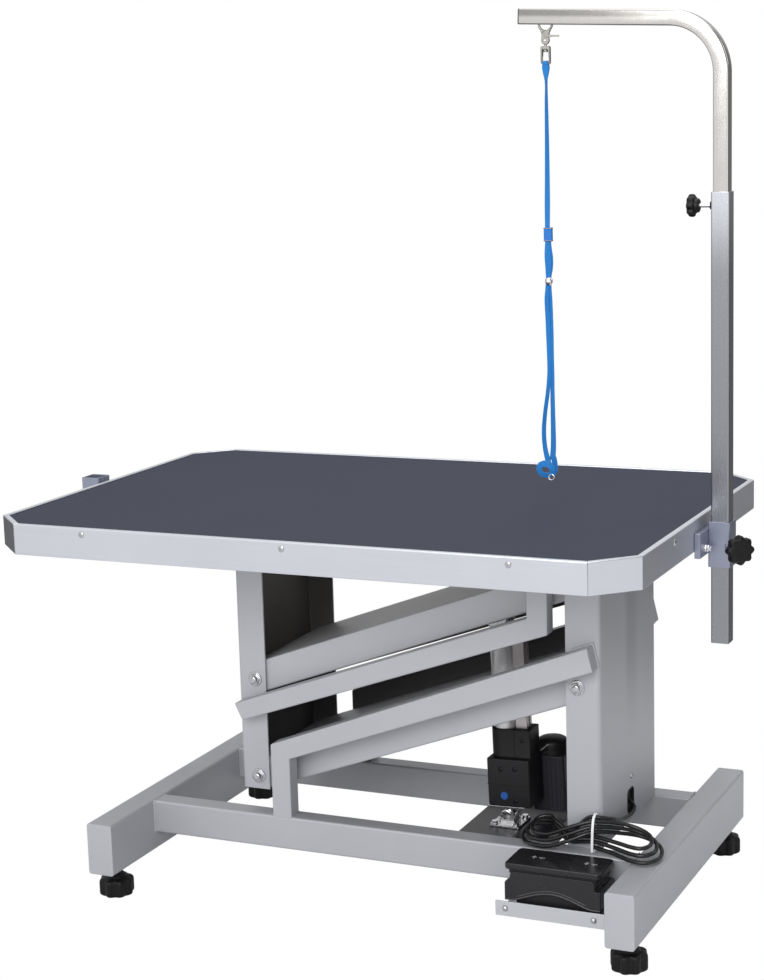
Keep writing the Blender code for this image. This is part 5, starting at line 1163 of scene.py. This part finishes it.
outer_loops = swept(ARM_OUT / 2, 0.0036, 8, 0.0012)
inner_loops = swept(ARM_BORE / 2, 0.0022, 8, 0.0012)
arm = loft(outer_loops)
arm = cut(arm, loft([[v + d * 0.004 for v in lp] if i == len(inner_loops) - 1 else lp for i, lp in
                     enumerate([[v - Vector((0, 0, 0.01)) for v in inner_loops[0]]] + inner_loops[1:])]))
slots = [box(HOOK_X + sx * RING_R - 0.0038, HOOK_X + sx * RING_R + 0.0038, PY - 0.0030, PY + 0.0030, RING_Z - 0.006, RING_Z + 0.006)
         for sx in (-1, 1)]
arm = cut(arm, *slots)
add("arm_tube", arm, "polished", "sliding_arm", "sliding_arm", 26, None, False)
tipf = Matrix.Translation(path[-1][0]) @ Matrix.Rotation(-(math.pi - RISE) + math.pi, 4, "Y")
cap_m = soften(in_yz([rect(-ARM_OUT / 2, ARM_OUT / 2, -ARM_OUT / 2, ARM_OUT / 2, 0.0034, 6)], -0.0021, -0.0001), 0.0006, 2)
plug_m = in_yz([rect(-ARM_BORE / 2 + 0.0002, ARM_BORE / 2 - 0.0002, -ARM_BORE / 2 + 0.0002, ARM_BORE / 2 - 0.0002, 0.002, 5)], -0.0001, 0.009)
cap_frame = Matrix.Translation(path[-1][0]) @ Matrix.Rotation(RISE, 4, "Y")
add("arm_end_cap", moved(join(cap_m, plug_m), cap_frame), "endcap", "sliding_arm")

# ---------------------------------------------------------------- snap hook
WIRE = 0.0019
ring = [(HOOK_X + RING_R * math.cos(math.radians(a)), PY, RING_Z + RING_R * math.sin(math.radians(a))) for a in range(-90, 270, 6)]
inner_arc = [(HOOK_X + 0.0094 * math.cos(math.radians(a)), RING_Z + 0.0094 * math.sin(math.radians(a))) for a in range(-140, -39, 10)]
shape = (inner_arc + [(HOOK_X + 0.0088, RING_Z - 0.0085), (HOOK_X + 0.0062, BZ - 0.0030), (HOOK_X + 0.0058, BZ - 0.0080)]
         + arc(HOOK_X - 0.0003, BZ - 0.0140, 0.0066, 20, -200, 22)
         + [(HOOK_X - 0.0062, BZ - 0.0070), (HOOK_X - 0.0064, BZ - 0.0030), (HOOK_X - 0.0088, RING_Z - 0.0085)])
bodyp = soften(in_xz([shape], PY - 0.0027, PY + 0.0027), 0.0009, 3, 40)
slit = moved(box(-0.0045, 0.0045, -0.01, 0.0, -0.00055, 0.00055), Matrix.Translation((HOOK_X - 0.0040, PY - 0.0012, BZ - 0.0022)) @ Matrix.Rotation(math.radians(-45), 4, "Y"))
bodyp = cut(bodyp, slit, cyl(0.0012, -0.01, 0.01, at(HOOK_X + 0.0030, PY, BZ - 0.0075, "Y"), 20))
add("hook_body", bodyp, "hook", "hook", "snap_hook", 40)
add("hook_ring", wire(ring, WIRE, 5, True), "hook", "hook", (), 60)
rivet = lathe([(0, 0.0007), (0.0016, 0.0006), (0.0022, 0.0), (0, 0)], at(HOOK_X - 0.0006, PY - 0.0027, BZ - 0.0140, "-Y"), 24)
add("hook_rivet", rivet, "zinc", "hook")
stem = lathe([(0, SWZ + 0.0015), (0.0021, SWZ + 0.0015), (0.0021, SWZ - 0.0076), (0.0032, SWZ - 0.0078), (0.0038, SWZ - 0.0084),
              (0.0038, SWZ - 0.0114), (0.0032, SWZ - 0.0120), (0, SWZ - 0.0120)], at(SX, PY, 0), 36)
add("hook_stem", stem, "hook", "hook")
LX, LZ = HOOK_X + 0.0030, BZ - 0.0075
lever = soften(in_xz([[(LX - 0.0026, LZ - 0.0022), (LX + 0.0040, LZ - 0.0016), (LX + 0.0170, LZ - 0.0013), (LX + 0.0200, LZ - 0.0016),
                       (LX + 0.0215, LZ - 0.0002), (LX + 0.0200, LZ + 0.0012), (LX + 0.0170, LZ + 0.0009),
                       (LX + 0.0040, LZ + 0.0016), (LX - 0.0026, LZ + 0.0022)]], PY - 0.0048, PY - 0.0030), 0.0005, 3)
pinp = cyl(0.0008, -0.0040, 0.0022, at(LX, PY, LZ, "Y"), 20)
add("hook_thumb", join(lever, pinp), "hook", "hook_lever", "hook_lever")

# swivel eye
ex0, ex1 = SX - 0.0075, SX + 0.0075
eye = in_xz([rect(ex0, ex1, EYE_BOT, EYE_TOP, 0.0026, 6), rect(ex0 + 0.0024, ex1 - 0.0024, EYE_BOT + 0.0026, EYE_TOP - 0.0044, 0.0014, 5)],
            PY - 0.0035, PY + 0.0035)
eye = soften(eye, 0.0008, 3, 50)
eye = cut(eye, cyl(0.0024, EYE_TOP - 0.006, EYE_TOP + 0.002, at(SX, PY, 0), 28),
          *[box(ex0 + 0.0015, ex1 - 0.0015, *sorted((PY + sy * 0.0015, PY + sy * 0.006)), EYE_BOT - 0.001, EYE_BOT + 0.0120) for sy in (-1, 1)])
add("eye_frame", eye, "hook", "eye", "swivel_eye", 40)

# ---------------------------------------------------------------- noose
fold = arc(PY, BAR_Z, 0.0033, -50, 230, 22)
legs_r = [(PY + 0.0008, BAR_Z - 0.0260), (PY + 0.0016, BAR_Z - 0.0140)]
legs_l = [(PY - 0.0016, BAR_Z - 0.0140), (PY - 0.0008, BAR_Z - 0.0260)]
pts = smooth([(SX, y, z) for y, z in legs_r] + [(SX, y, z) for y, z in fold] + [(SX, y, z) for y, z in legs_l], 2)
wid = []
for p in pts:
    q = BAR_Z - p[2]
    wid.append(0.0094 if q < 0.0 else 0.0094 + 0.0022 * math.sin(math.pi * min(1.0, q / 0.014)) if q < 0.014
               else 0.0094 - 0.0050 * min(1.0, (q - 0.014) / 0.012))
add("strap_fold", ribbon(pts, wid, 0.0014, [(1, 0, 0)] * len(pts)), "webbing", "noose", "noose_strap", 50)
stitch = [soften(box(SX - 0.0020, SX + 0.0020, PY - 0.0022, PY + 0.0022, BAR_Z - 0.0250 - k * 0.0030, BAR_Z - 0.0241 - k * 0.0030), 0.0003, 2)
          for k in range(2)]
add("strap_stitches", join(*stitch), "webbing", "noose")


def band(name, rows, thick=0.0016, mat="webbing"):
    """Rows of (x offset, y offset, height, width, twist in degrees), drawn as one ribbon."""
    fine = smooth(rows, 6)
    add(name, ribbon([(SX + x, PY + y, z) for x, y, z, _w, _t in fine], [w for _x, _y, _z, w, _t in fine], thick,
                     [(math.cos(math.radians(t)), math.sin(math.radians(t)), 0) for *_r, t in fine]), mat, "noose", (), 50)


band("strap_web", [(0.0, 0.0, BAR_Z - 0.0200, 0.0044, 20), (0.0002, 0.0, BAR_Z - 0.0350, 0.0056, 66), (0.0, 0.0, 1.300, 0.0066, 60),
                   (0.0001, 0.0, 1.240, 0.0074, 46), (-0.0003, 0.0, 1.180, 0.0080, 30), (-0.0008, 0.0, 1.140, 0.0086, 16),
                   (-0.0012, 0.0, 1.1060, 0.0080, 6), (-0.0008, 0.0, 1.0900, 0.0076, 0)])
# between slider and bead the two runs of the strap bow out side by side
band("strap_mid_front", [(-0.0006, -0.0010, 1.0900, 0.0076, 0), (-0.0012, -0.0012, 1.0760, 0.0084, 14), (-0.0006, -0.0020, 1.0600, 0.0104, 24),
                         (0.0002, -0.0020, 1.0450, 0.0102, 18), (-0.0006, -0.0012, 1.0300, 0.0080, 8), (-0.0010, -0.0006, 1.0180, 0.0066, 0)])
band("strap_mid_rear", [(-0.0002, 0.0010, 1.0900, 0.0076, 0), (0.0010, 0.0012, 1.0740, 0.0094, -20), (0.0026, 0.0022, 1.0580, 0.0116, -30),
                        (0.0022, 0.0022, 1.0430, 0.0108, -24), (0.0004, 0.0012, 1.0290, 0.0080, -8), (-0.0004, 0.0006, 1.0180, 0.0066, 0)])
band("strap_left", [(-0.0020, 0.0000, 1.0230, 0.0060, 0), (-0.0028, -0.0004, 1.0060, 0.0068, 20), (-0.0036, -0.0008, 0.9900, 0.0078, 30),
                    (-0.0026, -0.0006, 0.9600, 0.0076, 22), (-0.0022, -0.0004, 0.9300, 0.0070, 12), (-0.0018, -0.0004, 0.9000, 0.0062, 10),
                    (-0.0016, -0.0006, 0.8720, 0.0062, 14), (-0.0042, -0.0008, 0.8420, 0.0066, 30), (-0.0092, -0.0010, 0.8080, 0.0070, 38),
                    (-0.0118, -0.0012, 0.7780, 0.0074, 36), (-0.0104, -0.0014, 0.7520, 0.0076, 28), (-0.0058, -0.0016, 0.7310, 0.0090, 10), (-0.0020, -0.0010, 0.7180, 0.0090, 0)])
band("strap_right", [(0.0008, 0.0006, 1.0230, 0.0060, 0), (0.0012, 0.0010, 1.0060, 0.0066, -16), (0.0018, 0.0014, 0.9900, 0.0078, -24),
                     (0.0026, 0.0012, 0.9600, 0.0076, -18), (0.0030, 0.0010, 0.9300, 0.0072, -10), (0.0032, 0.0008, 0.9000, 0.0068, -8),
                     (0.0034, 0.0010, 0.8720, 0.0072, -12), (0.0030, 0.0012, 0.8420, 0.0082, -16), (0.0032, 0.0012, 0.8080, 0.0090, -18),
                     (0.0034, 0.0012, 0.7780, 0.0094, -14), (0.0032, 0.0012, 0.7520, 0.0096, -8), (0.0016, 0.0012, 0.7300, 0.0098, 0)])
# the bottom of the loop curls over itself, flat to the front
curl = []
for i in range(49):
    a = math.radians(118 - 396 * i / 48)
    out = 0.0120 - 0.0006 * math.sin(a * 2)
    curl.append((-0.0092 + out * math.cos(a), -0.0040 + 0.0046 * (i / 48), 0.7142 + 0.0096 * math.sin(a)))
side = []
for i in range(len(curl)):
    a, b = Vector(curl[max(i - 1, 0)]), Vector(curl[min(i + 1, len(curl) - 1)])
    t = (b - a).normalized()
    side.append(tuple(t.cross(Vector((0, 1, 0))) + Vector((0, 0.22, 0))))
add("strap_curl", ribbon([(SX + x, PY + y, z) for x, y, z in curl], [0.0098 + 0.0012 * math.sin(i * 0.2) for i in range(len(curl))], 0.0018, side),
    "webbing", "noose", (), 50)
band("strap_over", [(0.0030, 0.0016, 0.7350, 0.0098, -6), (0.0052, 0.0018, 0.7240, 0.0100, -10), (0.0064, 0.0010, 0.7120, 0.0080, -24),
                    (0.0030, 0.0002, 0.7040, 0.0060, -40)])
small = [(SX + 0.0012 + 0.0046 * math.cos(math.radians(a)), PY - 0.0040 + 0.0006 * math.sin(math.radians(a)), 0.7022 + 0.0046 * math.sin(math.radians(a)))
         for a in range(0, 360, 12)]
add("noose_ring", wire(small, 0.0008, 4, True), "chrome", "noose", (), 60)

sl = in_xy([rect(SX - 0.0070, SX + 0.0070, PY - 0.0035, PY + 0.0035, 0.0018, 6), rect(SX - 0.0043, SX + 0.0043, PY - 0.0015, PY + 0.0015)],
           1.0835, 1.1055)
sl = soften(sl, 0.0016, 4, 50)
add("slider_buckle", sl, "blue", "slider", "strap_slider", 35)
for i, z in enumerate((1.0848, 1.1042)):
    rim = [(SX + a, PY + b, z) for a, b in rect(-0.0068, 0.0068, -0.0034, 0.0034, 0.0022, 6)]
    add("slider_rim_%d" % i, wire(rim, 0.0008, 3, True), "hook", "slider", (), 60)
bead = lathe([(0, 0.0060), (0.0020, 0.0059), (0.0036, 0.0053), (0.0050, 0.0040), (0.0058, 0.0022), (0.0062, 0.0), (0.0062, -0.0014),
              (0.0056, -0.0032), (0.0048, -0.0048), (0.0040, -0.0062), (0.0036, -0.0072), (0, -0.0072)], at(SX, PY, 1.0208), 40)
bead = cut(bead, box(SX - 0.0041, SX + 0.0041, PY - 0.0014, PY + 0.0014, 1.01, 1.035))
add("stop_bead", bead, "chrome", "bead", "strap_bead", 40)

# ---------------------------------------------------------------- floor, sky, lamps, camera
scene = bpy.context.scene
floor_m = bpy.data.materials.new("stage_white")
floor_m.use_nodes = True
nt = floor_m.node_tree
nt.nodes.clear()
outn = put(nt, "ShaderNodeOutputMaterial")
lp = put(nt, "ShaderNodeLightPath")
mix = put(nt, "ShaderNodeMixShader")
dif = put(nt, "ShaderNodeBsdfDiffuse", Color=(0.72, 0.72, 0.73, 1))
em = put(nt, "ShaderNodeEmission", Color=(1, 1, 1, 1), Strength=1.0)
nt.links.new(lp.outputs["Is Camera Ray"], mix.inputs[0])
nt.links.new(dif.outputs[0], mix.inputs[1])
nt.links.new(em.outputs[0], mix.inputs[2])
nt.links.new(mix.outputs[0], outn.inputs["Surface"])
fm = box(-1.5, 1.5, -1.3, 1.3, -0.012, -0.002)
floor = bpy.data.objects.new("stage_floor", fm)
fm.materials.append(floor_m)
scene.collection.objects.link(floor)

world = bpy.data.worlds.new("studio")
scene.world = world
world.use_nodes = True
nt = world.node_tree
nt.nodes.clear()
outn = put(nt, "ShaderNodeOutputWorld")
lp = put(nt, "ShaderNodeLightPath")
mix = put(nt, "ShaderNodeMixShader")
white = put(nt, "ShaderNodeBackground", Color=(1, 1, 1, 1), Strength=1.0)
soft = put(nt, "ShaderNodeBackground", Strength=1.0)
tc = put(nt, "ShaderNodeTexCoord")
nrm = put(nt, "ShaderNodeVectorMath", operation="NORMALIZE")
nt.links.new(tc.outputs["Generated"], nrm.inputs[0])


def facing(direction, lo, hi, a, b):
    dot = put(nt, "ShaderNodeVectorMath", operation="DOT_PRODUCT")
    nt.links.new(nrm.outputs[0], dot.inputs[0])
    dot.inputs[1].default_value = Vector(direction).normalized()
    r = put(nt, "ShaderNodeMapRange", interpolation_type="SMOOTHSTEP")
    r.inputs["From Min"].default_value, r.inputs["From Max"].default_value = a, b
    r.inputs["To Min"].default_value, r.inputs["To Max"].default_value = lo, hi
    nt.links.new(dot.outputs["Value"], r.inputs["Value"])
    return r.outputs["Result"]


def total(*parts):
    out = parts[0]
    for p in parts[1:]:
        n = put(nt, "ShaderNodeMath", operation="ADD")
        nt.links.new(out, n.inputs[0])
        nt.links.new(p, n.inputs[1])
        out = n.outputs[0]
    return out


level = total(facing((-0.36, -0.92, 0.08), 0.18, 0.90, -0.20, 0.86), facing((0, 0, 1), 0.0, 0.36, 0.25, 0.95),
              facing((0.90, -0.39, -0.19), 0.0, 0.85, 0.86, 0.97), facing((-0.38, 0.90, 0.20), 0.0, 0.42, 0.78, 0.97))
nt.links.new(level, soft.inputs["Strength"])
soft.inputs["Color"].default_value = (0.985, 0.99, 1.0, 1)
nt.links.new(lp.outputs["Is Camera Ray"], mix.inputs[0])
nt.links.new(soft.outputs[0], mix.inputs[1])
nt.links.new(white.outputs[0], mix.inputs[2])
nt.links.new(mix.outputs[0], outn.inputs["Surface"])


def lamp(name, where, aim, size, power, color=(1, 1, 1)):
    la = bpy.data.lights.new(name, "AREA")
    la.shape = "RECTANGLE"
    la.size, la.size_y = size
    la.energy = power
    la.color = color
    o = bpy.data.objects.new(name, la)
    o.location = where
    o.rotation_euler = (Vector(aim) - Vector(where)).to_track_quat("-Z", "Y").to_euler()
    scene.collection.objects.link(o)
    return o


lamp("key", (0.5, -3.7, 2.3), (0.1, 0, 0.45), (2.6, 1.8), 84)
lamp("top", (0.3, 0.4, 3.4), (0, 0, 0.4), (2.6, 2.2), 54)
lamp("back", (2.9, 2.2, 2.4), (0, 0, 0.5), (1.8, 1.4), 12)

yaw, pitch, roll = 0.4288, 0.1838, -0.0293
fwd = Vector((-math.sin(yaw) * math.cos(pitch), math.cos(yaw) * math.cos(pitch), -math.sin(pitch)))
rgt = Vector((math.cos(yaw), math.sin(yaw), 0))
upv = rgt.cross(fwd)
r2 = math.cos(roll) * rgt + math.sin(roll) * upv
u2 = -math.sin(roll) * rgt + math.cos(roll) * upv
cam_data = bpy.data.cameras.new("camera")
cam_data.sensor_width = 36.0
cam_data.sensor_fit = "AUTO"
cam_data.lens = 2106.88 / 980 * 36
cam_data.clip_start, cam_data.clip_end = 0.05, 60
cam = bpy.data.objects.new("camera", cam_data)
m = Matrix((r2, u2, -fwd)).transposed().to_4x4()
m.translation = Vector((1.4436 - 0.0215, -3.168, 1.3155))
cam.matrix_world = m
scene.collection.objects.link(cam)
scene.camera = cam
scene.view_settings.view_transform = "Standard"
scene.view_settings.look = "None"
scene.view_settings.exposure = 0.0
scene.view_settings.gamma = 1.0
